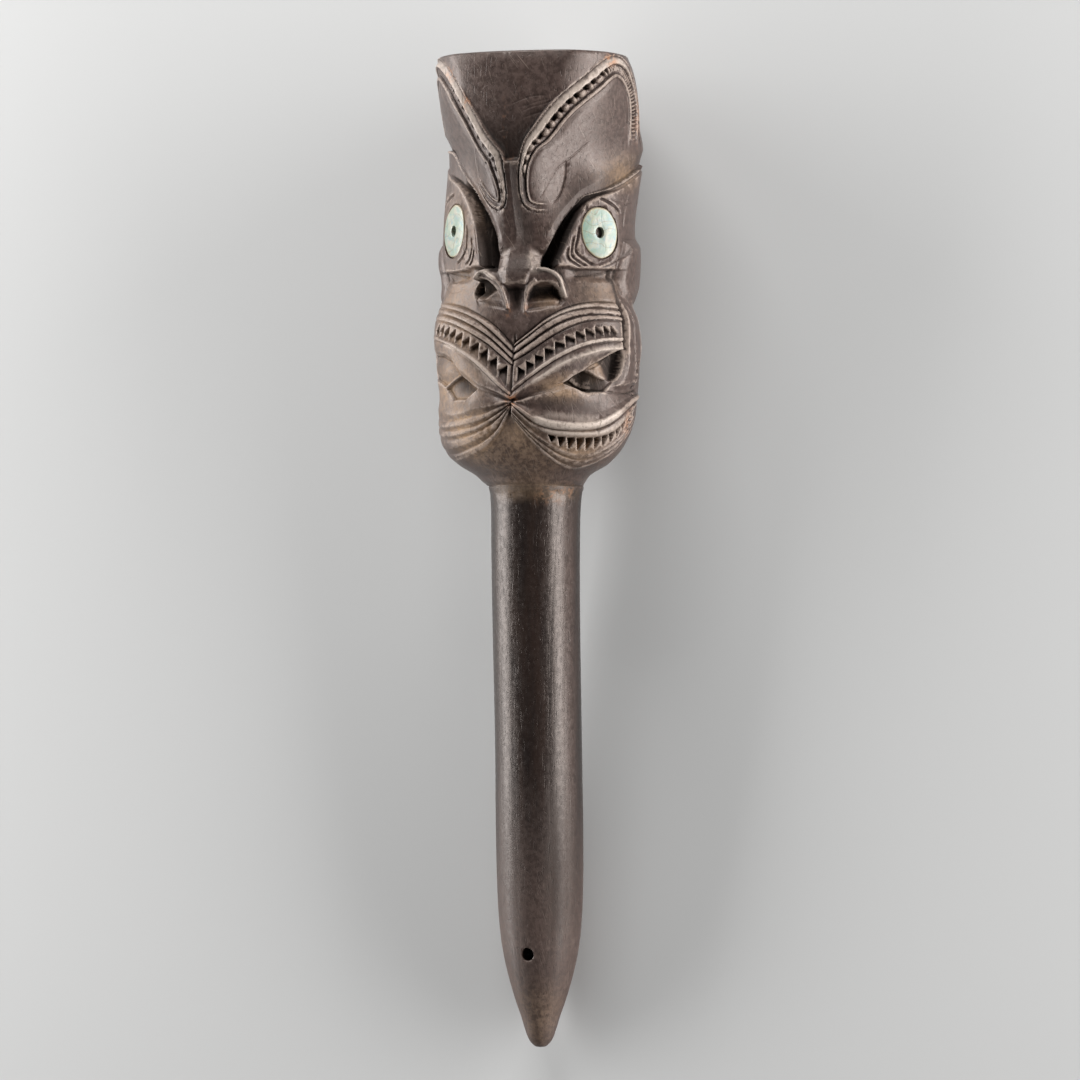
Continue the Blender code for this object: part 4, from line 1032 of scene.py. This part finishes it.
def woodPoints():
    # a ring of points at each height, then the rings over the top
    sway = curveThrough(stick["sway"], gridHeight)
    turn = np.radians(gridAngle)
    rings = np.stack([sway + gridRadius * np.sin(turn), gridHeight, gridRadius * np.cos(turn)], axis=-1)
    rim = rings[-1]
    even = rim
    for _ in range(stick["eveningPasses"]):
        even = (np.roll(even, 1, axis=0) + even + np.roll(even, -1, axis=0)) / 3
    over = []
    for inward, rise, share in stick["crown"]:
        over.append((rim + (even - rim) * share) * (inward, 1, inward) + (0, rise, 0))
    return np.concatenate([rings, np.array(over)])


def woodMesh():
    rings = woodPoints()
    rows, across = rings.shape[:2]
    ends = [[0, stick["length"] + stick["topBulge"], 0], [rings[0, :, 0].mean(), stick["pointEnd"], 0]]
    top, point = rows * across, rows * across + 1
    column = np.arange(across)
    beside = (column + 1) % across
    start = np.arange(rows - 1)[:, None] * across
    corners = (start + column, start + beside, start + across + beside, start + across + column)
    last = (rows - 1) * across
    fans = [(last + c, last + b, top) for c, b in zip(column, beside)]
    fans += [(b, c, point) for c, b in zip(column, beside)]
    world = placed(np.concatenate([rings.reshape(-1, 3), ends]))
    world[:, 2] = np.maximum(world[:, 2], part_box("carved_stick")[0].z)  # the two small flats it rests on
    quads = np.stack(corners, axis=-1).reshape(-1, 4).tolist()
    return world, quads + [tuple(int(v) for v in f) for f in fans]


def eyeFrame(eye):
    # x across the eye, y along it, z out of the wood
    faces = math.radians(eyes["faces"])
    reach = planeRadius(eyes["plane"], eyes["faces"], eye["angle"])
    turn = math.radians(eye["angle"])
    sign = eye["sign"]
    centre = Vector((sign * reach * math.sin(turn), eye["height"], reach * math.cos(turn)))
    out = Vector((sign * math.sin(faces), -0.02, math.cos(faces))).normalized()
    across = Vector((0, 1, 0)).cross(out).normalized()
    turned = Matrix((across, out.cross(across), out)).transposed().to_4x4()
    lean = Matrix.Rotation(math.radians(sign * eye["lean"]), 4, "Z")
    return Matrix.Translation(centre) @ turned @ lean


def ovalCutter(name, wide, long, low, high, matrix, steps):
    turns = [2 * math.pi * k / steps for k in range(steps)]
    rings = [(wide / 2 * math.cos(t), long / 2 * math.sin(t), z) for z in (low, high) for t in turns]
    faces = [list(range(steps))[::-1], list(range(steps, 2 * steps))]
    faces += [(k, (k + 1) % steps, steps + (k + 1) % steps, steps + k) for k in range(steps)]
    return newPiece(name, [matrix @ Vector(p) for p in rings], faces)


def applyModifiers(piece):
    graph = bpy.context.evaluated_depsgraph_get()
    mesh = bpy.data.meshes.new_from_object(piece.evaluated_get(graph))
    piece.modifiers.clear()
    old = piece.data
    piece.data = mesh
    bpy.data.meshes.remove(old)


wood = newPiece("carved_wood", *woodMesh(), "wood", ("carved_stick",))
wood.data.shade_smooth()
print("wood before thinning:", len(wood.data.polygons), "faces")
thin = wood.modifiers.new("thin", "DECIMATE")
thin.ratio = min(1, stick["triangles"] / (2 * len(wood.data.polygons)))
applyModifiers(wood)

def cutOut(name, wide, long, low, high, matrix, steps):
    cutter = ovalCutter(name, wide, long, low, high, matrix, steps)
    cut = wood.modifiers.new(name, "BOOLEAN")
    cut.object = cutter
    cut.solver = "EXACT"
    applyModifiers(wood)
    bpy.data.objects.remove(cutter)


for name in ("left", "right"):
    gap = eyes["seatGap"]
    wide, long = eyes[name]["width"] + 2 * gap, eyes[name]["length"] + 2 * gap
    depth = eyes["shellThickness"] + gap
    cutOut(name + "Socket", wide, long, low=-depth, high=8, matrix=pose @ eyeFrame(eyes[name]), steps=72)
hole = stick["tieHole"]
matrix = pose @ Matrix.Translation((hole["sideways"], hole["height"], 0))
cutOut("tieHole", hole["diameter"], hole["diameter"], low=-25, high=25, matrix=matrix, steps=40)
print("wood:", len(wood.data.polygons), "faces")


def chartPlaces(mesh):
    # for every point of the finished wood: its angle and height on the chart, where it lies on a flat
    # chart of the top, and how far it belongs to the top
    world = np.empty(len(mesh.vertices) * 3)
    mesh.vertices.foreach_get("co", world)
    back = np.array(pose.inverted())
    local = world.reshape(-1, 3) @ back[:3, :3].T + back[:3, 3]
    height = np.clip(local[:, 1], 0, stick["length"])
    sideways = local[:, 0] - curveThrough(stick["sway"], height)
    onTop = ease(stick["length"] + 0.1, stick["length"] + 0.5, local[:, 1])
    return np.degrees(np.arctan2(sideways, local[:, 2])), height, local[:, ::2], onTop


def readGrid(grid, angle, height):
    column = np.interp(angle, angles, np.arange(len(angles)))
    row = np.interp(height, heights, np.arange(len(heights)))
    c = np.minimum(column.astype(int), len(angles) - 2)
    r = np.minimum(row.astype(int), len(heights) - 2)
    across, up = column - c, row - r
    low = grid[r, c] * (1 - across) + grid[r, c + 1] * across
    high = grid[r + 1, c] * (1 - across) + grid[r + 1, c + 1] * across
    return low * (1 - up) + high * up


def paint(mesh, name, values):
    layer = mesh.attributes.new(name, "FLOAT", "POINT")
    layer.data.foreach_set("value", np.clip(values, 0, 1).astype(np.float32))


# places in the finish, as (angle, height, how far round, how far up, how strong)
patches = {
    # pale earth has settled
    "earth": (
        (-48, 264, 42, 34, 0.9), (-46, 306, 26, 12, 0.35), (-28, 246, 24, 13, 0.5), (-30, 285, 20, 12, 0.3),
        (-34, 266, 16, 5, 0.6), (-30, 243, 30, 16, 1.0), (-52, 296, 30, 24, 0.6), (34, 262, 26, 8, 0.9),
        (54, 269, 9, 6, 1.0), (4, 244, 20, 12, 0.8), (44, 238, 26, 8, 0.4), (24, 298, 14, 8, 0.7),
        (-22, 300, 16, 8, 0.5), (80, 346, 30, 8, 0.6), (60, 300, 26, 10, 0.45), (-40, 330, 24, 26, 0.35),
        (50, 240, 40, 12, 0.35), (6, 234, 60, 16, 0.45), (84, 351, 26, 8, 0.4), (10, 12, 90, 22, 0.4),
        (-62, 330, 22, 22, 0.35), (40, 222, 60, 6, 0.5), (-20, 222, 40, 6, 0.5),
    ),
    # rubbed down to red-brown wood
    "bare": (
        (62, 391, 8, 3.5, 1.0), (-28, 375, 5, 5, 0.9), (-42, 386, 7, 5, 0.7), (80, 249, 7, 9, 0.5),
        (0, 257.4, 7, 4.6, 1.0), (0, 352, 5, 2.0, 0.3), (-3, 366, 2.5, 14, 0.35), (96, 370, 7, 14, 0.35),
        (-6, 293, 4, 5, 0.5), (9, 293, 4, 4, 0.4), (40, 220, 36, 5, 0.45), (60, 222, 16, 4, 0.4),
    ),
    # painted shade: darker, and kept clear of earth
    "shadeSpots": (
        (24, 300.8, 16, 3.2, 0.8), (-40, 263, 13, 7, 0.75), (-62, 271, 13, 7, 0.35),
        (-34, 255.4, 24, 3.6, 0.35), (52, 300, 17, 8, 0.3), (62, 282, 14, 9, 0.3), (38, 66, 24, 54, 0.45),
    ),
}


def patchSum(name, angle, height):
    total = 0
    for at, up, around, along, strength in patches[name]:
        total = total + strength * bump(angle, at, around) * bump(height, up, along)
    return total


def dustAndSheenOver(angle, height):
    # dust dulls the carved head, less its forehead, and a little the lower end; between, it is handled
    # bright.
    # Its haze is partly a painted sheen. It is thinned as painted shade over the front of the nose and on the
    # lit right of the lower end, and laid up the right of the upper shaft as a painted highlight
    dustAndSheen = 1 - 0.7 * bump(height, 357, 26) * bump(angle, -4, 42)
    # thinner over the front of the nose: painted shade
    dustAndSheen = dustAndSheen - 0.6 * bump(angle, 4, 15) * bump(height, 310, 13)
    dustAndSheen = dustAndSheen - 0.35 * bump(height, 390, 12) * bump(angle, 34, 16)
    # less on the lit right of the lower end: painted shade
    pointEnd = 0.95 * ease(118, 34, height) * (1 - 0.5 * bump(angle, 64, 44) * ease(30, 60, height))
    # up the right of the upper shaft: a painted highlight
    paintedHighlightBesideShaft = 0.5 * bump(angle, 66, 24) * ease(224, 212, height) * ease(70, 118, height)
    return dustAndSheen * ease(221, 226, height) + pointEnd + paintedHighlightBesideShaft


def paintWood(mesh):
    angle, height, flat, onTop = chartPlaces(mesh)
    chartPoints = np.zeros((len(angle), 3))
    unrolled = np.stack([angle * mmPerDegree, height], axis=-1)
    chartPoints[:, :2] = np.where(onTop[:, None] > 0.5, flat, unrolled)
    chart = mesh.attributes.new("chart", "FLOAT_VECTOR", "POINT")
    chart.data.foreach_set("vector", (chartPoints * mm).ravel())
    for name, grid in gridMasks.items():
        paint(mesh, name, readGrid(grid, angle, height) * (1 - onTop))
    # painted shade spots, which also keep the earth out of where they lie
    shadeSpots = np.clip(patchSum("shadeSpots", angle, height), 0, 1)
    paint(mesh, "shadeSpots", shadeSpots)
    paint(mesh, "earth", patchSum("earth", angle, height) * (1 - shadeSpots) * (1 - onTop))
    paint(mesh, "bare", patchSum("bare", angle, height) * (1 - onTop))
    paint(mesh, "dustAndSheen", dustAndSheenOver(angle, height))
    paint(mesh, "dull", 0.2 + 0.15 * ease(221, 226, height) + 0.8 * ease(130, 50, height))


paintWood(wood.data)
print("making the shell eyes")


def makeShell(name, eye):
    # a thin oval of shell, a little domed and unevenly cut, with its edge eased and a hole for the pupil
    wide, long = eye["width"] / 2, eye["length"] / 2
    holeWide, holeLong = (size / 2 for size in eyes["pupil"])
    thick, rise = eyes["shellThickness"], eyes["shellRise"]
    # (share of the way out from the pupil to the edge, height)
    section = [(1.0, -thick), (1.0, -0.45), (0.985, -0.2), (0.955, -0.05), (0.9, 0.03)]
    section += [(0.9 - 0.1 * k, 0.03 + (rise - 0.08) * (1 - (1 - k / 8) ** 2)) for k in range(1, 8)]
    section += [(0.04, rise - 0.05), (0.012, rise - 0.1), (0.0, rise - 0.3), (0.0, -thick)]
    steps = eyes["shellSteps"]
    verts = []
    for share, z in section:
        for k in range(steps):
            t = 2 * math.pi * k / steps
            uneven = 1 + 0.012 * math.sin(3 * t + eye["angle"]) * share
            uneven += 0.008 * math.sin(7 * t + 1.3) * share
            halfWide, halfLong = holeWide + (wide - holeWide) * share, holeLong + (long - holeLong) * share
            verts.append(Vector((halfWide * uneven * math.cos(t), halfLong * uneven * math.sin(t), z)))
    faces = []
    rings = len(section)
    for row in range(rings):
        for k in range(steps):
            j, nextRow = (k + 1) % steps, (row + 1) % rings
            faces.append((row * steps + k, row * steps + j, nextRow * steps + j, nextRow * steps + k))
    matrix = pose @ eyeFrame(eye)
    shell = newPiece(name + "_shell", [matrix @ v for v in verts], faces, "shell", (name + "_eye_shell",))
    shell.data.shade_smooth()
    shell.data.set_sharp_from_angle(angle=math.radians(50))
    turns = 2 * math.pi * np.arange(steps) / steps
    shares = np.array([share for share, _ in section])[:, None]
    across, up = shares * np.cos(turns), shares * np.sin(turns)
    paint(shell.data, "rim", np.repeat(shares, steps))
    # a brown stain that runs down from the upper edge
    stain = bump(across + 0.18 + 0.2 * (0.9 - up), 0, 0.13) * ease(0.2, 0.45, up) * eye["stain"]
    paint(shell.data, "stain", stain.ravel())
    return shell


shells = [makeShell(name, eyes[name]) for name in ("right", "left")]


class Tree:
    # small helpers to add and join nodes
    def __init__(self, tree):
        self.nodes, self.links = tree.nodes, tree.links

    def add(self, kind, **values):
        node = self.nodes.new(kind)
        for key, value in values.items():
            setattr(node, key, value)
        return node

    def feed(self, socket, value):
        if isinstance(value, bpy.types.NodeSocket):
            self.links.new(value, socket)
        elif value is not None:
            socket.default_value = value

    def feedAll(self, node, **values):
        for label, value in values.items():
            self.feed(node.inputs[label.replace("_", " ")], value)
        return node

    def maths(self, operation, a, b, clamp=False):
        node = self.add("ShaderNodeMath", operation=operation, use_clamp=clamp)
        self.feed(node.inputs[0], a)
        self.feed(node.inputs[1], b)
        return node.outputs[0]

    def times(self, a, b, clamp=False):
        return self.maths("MULTIPLY", a, b, clamp)

    def plus(self, a, b, clamp=False):
        return self.maths("ADD", a, b, clamp)

    def minus(self, a, b, clamp=False):
        return self.maths("SUBTRACT", a, b, clamp)

    def blend(self, share, low, high):
        node = self.add("ShaderNodeMix", data_type="RGBA", blend_type="MIX")
        for place, value in ((0, share), (6, low), (7, high)):
            self.feed(node.inputs[place], value)
        return node.outputs[2]

    def layered(self, colour, finish, layers):
        # each layer of (mask, share of it, name of its colour) over the ones before
        for mask, share, tone in layers:
            colour = self.blend(self.times(mask, share), colour, finish[tone])
        return colour

    def remap(self, value, low, high, toLow=0.0, toHigh=1.0):
        node = self.add("ShaderNodeMapRange", interpolation_type="SMOOTHSTEP")
        for socket, number in zip(node.inputs, (value, low, high, toLow, toHigh)):
            self.feed(socket, number)
        return node.outputs[0]

    def noise(self, vector, scale, detail=3.0, rough=0.5, twist=0.0):
        node = self.add("ShaderNodeTexNoise")
        self.feedAll(node, Vector=vector, Scale=scale, Detail=detail, Roughness=rough, Distortion=twist)
        return node.outputs[0]

    def mapped(self, vector, kind="POINT", **values):
        node = self.add("ShaderNodeMapping", vector_type=kind)
        return self.feedAll(node, Vector=vector, **values).outputs[0]

    def vector(self, operation, a, b):
        node = self.add("ShaderNodeVectorMath", operation=operation)
        self.feed(node.inputs[0], a)
        self.feed(node.inputs[1], b)
        return node.outputs[0]

    def mark(self, name):
        return self.add("ShaderNodeAttribute", attribute_name=name).outputs["Fac"]

    def group(self, name, **values):
        # one of the shared effects below
        node = self.add("ShaderNodeGroup", node_tree=bpy.data.node_groups[name])
        return self.feedAll(node, **values).outputs

    def relief(self, height, strength):
        node = self.feedAll(self.add("ShaderNodeBump"), Strength=strength, Distance=1.0, Height=height)
        return node.outputs[0]


# shared effects, as node groups: a vector and some numbers go in, masks come out
def newGroup(name, outputs, **numbers):
    group = bpy.data.node_groups.new(name, "ShaderNodeTree")
    group.interface.new_socket(name="Vector", in_out="INPUT", socket_type="NodeSocketVector")
    for label, value in numbers.items():
        label = label.replace("_", " ")
        socket = group.interface.new_socket(name=label, in_out="INPUT", socket_type="NodeSocketFloat")
        socket.default_value = value
    for label in outputs:
        group.interface.new_socket(name=label, in_out="OUTPUT", socket_type="NodeSocketFloat")
    tree = Tree(group)
    return tree, tree.add("NodeGroupInput").outputs, tree.add("NodeGroupOutput").inputs


def makeMottle():
    # soft patches at one size, broken up by finer ones
    tree, given, out = newGroup("mottle", ["Mask"], Size=90.0, Contrast=0.2)
    value = tree.noise(given["Vector"], given["Size"], 5.0, 0.62)
    low, high = tree.minus(0.5, given["Contrast"]), tree.plus(0.5, given["Contrast"])
    tree.feed(out["Mask"], tree.remap(value, low, high))


def makeWoodGrain():
    # long fibres and open pores that run up the stick
    tree, given, out = newGroup("wood grain", ["Streak", "Fibre", "Pore"], Pores=0.5)
    streaks, fibres, pores = (
        tree.mapped(given["Vector"], Scale=size) for size in ((9, 130, 130), (38, 900, 900), (95, 1500, 1500))
    )
    tree.feed(out["Streak"], tree.noise(streaks, 1.0, 4.0, 0.6, 0.3))
    tree.feed(out["Fibre"], tree.noise(fibres, 1.0, 3.0, 0.6))
    pores = tree.remap(tree.noise(pores, 1.0, 1.0, 0.4), 0.64, 0.74)
    tree.feed(out["Pore"], tree.times(pores, given["Pores"]))


def makeSettledDirt():
    # dirt that gathers in hollows, patchily
    tree, given, out = newGroup("settled dirt", ["Mask"], Hollow=0.0, Amount=0.5, Patch_Size=160.0)
    uneven = tree.minus(tree.noise(given["Vector"], given["Patch Size"], 4.0, 0.6), 0.5)
    lifted = tree.plus(given["Hollow"], tree.times(uneven, 0.9))
    tree.feed(out["Mask"], tree.times(tree.remap(lifted, 0.25, 0.8), given["Amount"], clamp=True))


def makeFineScratches():
    # thin pale scratches that run two ways over the surface
    tree, given, out = newGroup("fine scratches", ["Mask"], Amount=0.3)
    lines = []
    for turn, length, width in ((-52, 0.013, 0.00042), (-74, 0.008, 0.00036)):
        turned = (0, 0, math.radians(turn))
        place = tree.mapped(given["Vector"], "TEXTURE", Rotation=turned, Scale=(length, width, 1))
        lines.append(tree.remap(tree.noise(place, 1.0, 1.0, 0.4), 0.66, 0.76))
    tree.feed(out["Mask"], tree.times(tree.maths("MAXIMUM", *lines), given["Amount"], clamp=True))


def makeCrackle():
    # short fine cracks across an old finish, in some places more than in others
    tree, given, out = newGroup("crackle", ["Mask"], Amount=0.5, Size=0.002)
    place = tree.vector("DIVIDE", given["Vector"], given["Size"])
    wobble = tree.feedAll(tree.add("ShaderNodeTexNoise"), Vector=place, Scale=1.3)
    bent = tree.vector("ADD", place, wobble.outputs["Color"])
    cells = tree.add("ShaderNodeTexVoronoi", feature="DISTANCE_TO_EDGE", voronoi_dimensions="2D")
    tree.feedAll(cells, Vector=bent, Scale=1.0)
    line = tree.remap(cells.outputs["Distance"], 0.02, 0.075, 1.0, 0.0)
    broken = tree.remap(tree.noise(place, 0.5, 3.0, 0.6), 0.44, 0.6)
    tree.feed(out["Mask"], tree.times(tree.times(line, broken), given["Amount"], clamp=True))


for make in (makeMottle, makeWoodGrain, makeSettledDirt, makeFineScratches, makeCrackle):
    make()

woodFinish = {
    "heart": (0.0075, 0.005, 0.0046, 1),
    "brown": (0.018, 0.0105, 0.008, 1),
    "haze": (0.082, 0.0545, 0.0465, 1),  # the grey bloom of dust and old handling wax, and a painted sheen
    "earth": (0.38, 0.25, 0.15, 1),
    # painted shade in hollows and cuts, also the colour of cracks and pores
    "shadeCrackAndPore": (0.006, 0.0042, 0.0036, 1),
    "rubbed": (0.34, 0.14, 0.055, 1),
    # pale wear and a painted highlight on the proud edges, also the colour of the fine scratches
    "paleWearAndHighlight": (0.30, 0.235, 0.195, 1),
    "pale": (0.42, 0.35, 0.30, 1),
    "sheenTint": (1.0, 0.85, 0.77, 1),
    "roughness": 0.3,
    "dullRoughness": 0.3,
    "coat": 0.1,
    # heights of the finest relief, in metres
    "fibreDepth": 0.00009,
    "pitDepth": 0.00012,
    "crackDepth": 0.00003,
    "lumpHeight": 0.00022,
}


def newMaterial(name):
    material = bpy.data.materials.new(name)
    material.use_nodes = True
    tree = Tree(material.node_tree)
    return material, tree, material.node_tree.nodes["Principled BSDF"]


def makeWoodMaterial():
    material, tree, shader = newMaterial("old dark wood")
    finish = woodFinish
    where = tree.add("ShaderNodeTexCoord").outputs["Object"]
    surface = tree.add("ShaderNodeAttribute", attribute_name="chart").outputs["Vector"]
    names = ("hollow", "proud", "deep", "shadeSpots", "pale", "shade", "earth", "bare", "dustAndSheen", "dull")
    hollow, proud, deep, shadeSpots, pale, shade, earth, bare, dustAndSheen, dull = (tree.mark(name) for name in names)
    grain = tree.group("wood grain", Vector=where, Pores=0.8)
    patchy = tree.group("mottle", Vector=where, Size=55.0, Contrast=0.16)["Mask"]
    speckle = tree.group("mottle", Vector=where, Size=520.0, Contrast=0.12)["Mask"]
    uneven = tree.minus(speckle, 0.5)
    # the haze: dust, partly standing in for a painted sheen
    veil = tree.times(dustAndSheen, tree.plus(0.45, tree.times(speckle, 0.4)))
    veil = tree.plus(veil, tree.times(patchy, 0.05), clamp=True)
    # earth lies in the carved lines, and as a film where it has been rubbed in
    lying = tree.group("settled dirt", Vector=where, Hollow=hollow, Amount=1.0, Patch_Size=230.0)["Mask"]
    film = tree.plus(tree.times(speckle, 0.3), tree.times(patchy, 0.35))
    film = tree.times(tree.plus(film, 0.12), earth)
    earthy = tree.plus(tree.times(tree.times(lying, earth), 0.45), film, clamp=True)
    # painted shade darkens the hollows, the deep cuts, the shade spots and the shade mask, less where earth
    # lies in them
    clean = tree.minus(1.0, tree.times(earth, 0.6))
    shadedHollows = tree.times(tree.remap(hollow, 0.35, 1.0), clean, clamp=True)
    deepest = tree.times(deep, tree.minus(1.0, tree.times(speckle, 0.25)))
    for mask in (deepest, tree.times(shadeSpots, 0.9), shade):
        shadedHollows = tree.maths("MAXIMUM", shadedHollows, mask)
    # handling has polished and thinned the finish along the edges, and a painted highlight brightens the
    # proud edges
    edge = tree.remap(tree.plus(proud, tree.times(uneven, 0.5)), 0.35, 1.0)
    scratched = tree.group("fine scratches", Vector=surface, Amount=0.32)["Mask"]
    cracks = tree.group("crackle", Vector=surface, Amount=1.0, Size=0.0023)["Mask"]
    handled = tree.remap(tree.plus(speckle, tree.times(patchy, 0.6)), 0.0, 1.0, 0.55, 1.0)
    worn = tree.remap(tree.plus(tree.times(proud, 0.7), speckle), 0.45, 1.2)
    colour = tree.blend(tree.remap(grain["Streak"], 0.35, 0.68), finish["heart"], finish["brown"])
    colour = tree.layered(colour, finish, (
        (veil, 1.0, "haze"),
        (earthy, 1.0, "earth"),
        (shadedHollows, 0.93, "shadeCrackAndPore"),
        (tree.times(edge, dustAndSheen), 0.75, "paleWearAndHighlight"),
        (tree.times(scratched, dustAndSheen), 1.0, "paleWearAndHighlight"),
        (cracks, 0.4, "shadeCrackAndPore"),
        # pale wear and painted highlight along the ridges
        (tree.times(pale, handled), 1.0, "pale"),
        (tree.times(bare, worn, clamp=True), 0.85, "rubbed"),
        (grain["Pore"], 0.5, "shadeCrackAndPore"),
    ))
    rough = finish["roughness"]
    marks = ((uneven, 0.12), (dull, finish["dullRoughness"]), (earthy, 0.35), (shadedHollows, 0.4), (hollow, 0.12))
    for mask, share in marks:
        rough = tree.plus(rough, tree.times(mask, share), clamp=True)
    relief = tree.times(tree.minus(grain["Fibre"], 0.5), finish["fibreDepth"])
    pits = tree.remap(tree.noise(where, 700.0, 2.0, 0.6), 0.62, 0.78)
    for mask, depth in ((grain["Pore"], "fibreDepth"), (pits, "pitDepth"), (cracks, "crackDepth")):
        relief = tree.minus(relief, tree.times(mask, finish[depth]))
    lump = tree.times(tree.noise(where, 260.0, 2.0, 0.5), finish["lumpHeight"])
    coat = tree.times(tree.minus(1.0, shadedHollows, clamp=True), finish["coat"])
    tree.feedAll(shader, Base_Color=colour, Roughness=rough, Coat_Weight=coat, Coat_Roughness=0.28)
    tree.feedAll(shader, Specular_Tint=finish["sheenTint"], Normal=tree.relief(tree.plus(relief, lump), 0.6))
    return material


shellFinish = {
    "pale": (0.21, 0.265, 0.225, 1),
    "milk": (0.34, 0.335, 0.265, 1),
    "blue": (0.13, 0.24, 0.28, 1),
    "green": (0.155, 0.26, 0.18, 1),
    "pink": (0.32, 0.225, 0.215, 1),
    "rim": (0.36, 0.30, 0.18, 1),
    "vein": (0.16, 0.11, 0.07, 1),
    "waveHeight": 0.0005,
}


def makeShellMaterial():
    material, tree, shader = newMaterial("sea shell")
    finish = shellFinish
    where = tree.add("ShaderNodeTexCoord").outputs["Object"]
    rim = tree.mark("rim")
    flow = tree.noise(where, 150.0, 3.0, 0.55, 1.6)
    vein = tree.add("ShaderNodeTexWave", wave_type="BANDS")
    tree.feedAll(vein, Vector=where, Scale=60.0, Distortion=9.0, Detail=2.0, Detail_Scale=1.3)
    atEdge = tree.remap(rim, 0.9, 1.0)
    dirt = tree.group("settled dirt", Vector=where, Hollow=atEdge, Amount=0.7, Patch_Size=400.0)["Mask"]
    colour = tree.blend(tree.remap(flow, 0.4, 0.6), finish["pale"], finish["milk"])
    colour = tree.layered(colour, finish, (
        (tree.group("mottle", Vector=where, Size=210.0, Contrast=0.1)["Mask"], 0.45, "green"),
        (tree.remap(tree.noise(where, 260.0, 2.0, 0.5, 2.2), 0.54, 0.66), 0.6, "blue"),
        (tree.remap(tree.noise(where, 330.0, 2.0, 0.5, 1.2), 0.58, 0.7), 0.5, "pink"),
        (tree.remap(vein.outputs["Fac"], 0.97, 1.0), 0.5, "vein"),
        (tree.mark("stain"), 0.55, "rim"),
        (tree.remap(rim, 0.86, 0.97), 0.8, "rim"),
        (dirt, 1.0, "vein"),
    ))
    rough = tree.plus(0.3, tree.times(dirt, 0.3))
    tree.feedAll(shader, Base_Color=colour, Roughness=rough, Coat_Weight=0.12, Coat_Roughness=0.2)
    tree.feed(shader.inputs["Normal"], tree.relief(tree.times(flow, finish["waveHeight"]), 0.35))
    return material


print("finishing the surfaces")
wood.data.materials.clear()
wood.data.materials.append(makeWoodMaterial())
shellMaterial = makeShellMaterial()
for shell in shells:
    shell.data.materials.append(shellMaterial)

studio = {
    "floorTone": (0.55, 0.55, 0.545, 1),
    "floorSize": 6.0,
    "world": 0.07,
    # name: (position, size, power), all facing the stick
    "lights": {
        "left": ((0.10, 1.05, 0.30), (1.6, 0.56), 24.5),
        "right": ((0.05, -1.15, 0.27), (1.6, 0.52), 31.0),
        "head": ((1.15, 0.15, 0.68), (0.8, 0.4), 12.0),
    },
}


def makeStudio():
    low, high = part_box("carved_stick")
    bpy.ops.mesh.primitive_plane_add(size=studio["floorSize"], location=(0, 0, low.z - 0.0001))
    floor = bpy.context.object
    floor.name = "floor"
    material, tree, shader = newMaterial("pale floor")
    where = tree.add("ShaderNodeTexCoord").outputs["Object"]
    cloudy = tree.group("mottle", Vector=where, Size=3.0, Contrast=0.4)["Mask"]
    tone = studio["floorTone"]
    colour = tree.blend(cloudy, tone, tuple(0.985 * t for t in tone[:3]) + (1,))
    tree.feedAll(shader, Base_Color=colour, Roughness=0.75)
    floor.data.materials.append(material)
    target = (low + high) / 2
    for name, (position, size, power) in studio["lights"].items():
        light = bpy.data.lights.new(name, "AREA")
        light.shape = "RECTANGLE"
        light.size, light.size_y = size
        light.energy = power
        lamp = bpy.data.objects.new(name, light)
        lamp.location = position
        lamp.rotation_mode = "QUATERNION"
        lamp.rotation_quaternion = (target - lamp.location).to_track_quat("-Z", "Y")
        bpy.context.scene.collection.objects.link(lamp)
    world = bpy.data.worlds.new("studio")
    world.use_nodes = True
    background = world.node_tree.nodes["Background"]
    background.inputs["Color"].default_value = (1, 1, 1, 1)
    background.inputs["Strength"].default_value = studio["world"]
    bpy.context.scene.world = world


view = {"distance": 1750.0, "yaw": 18.0, "middle": 202.4, "sideways": 0.6, "covers": 432.0}


def makeCamera():
    # looks down on the face, a little from its right, with the head up
    yaw = math.radians(view["yaw"])
    away = Vector((math.sin(yaw), 0, math.cos(yaw)))
    beside = Vector((math.cos(yaw), 0, -math.sin(yaw)))
    aim = Vector((0, view["middle"], 0)) + beside * view["sideways"]
    target, eye = pose @ aim, pose @ (aim + away * view["distance"])
    up = (pose.to_3x3() @ Vector((0, 1, 0))).normalized()
    back = (eye - target).normalized()
    matrix = Matrix((up.cross(back).normalized(), up, back)).transposed().to_4x4()
    matrix.translation = eye
    data = bpy.data.cameras.new("camera")
    data.sensor_width = 36
    data.lens = 36 * view["distance"] / view["covers"]
    camera = bpy.data.objects.new("camera", data)
    camera.matrix_world = matrix
    bpy.context.scene.collection.objects.link(camera)
    bpy.context.scene.camera = camera


print("setting up the studio")
makeStudio()
makeCamera()
bpy.context.scene.view_settings.view_transform = "Standard"
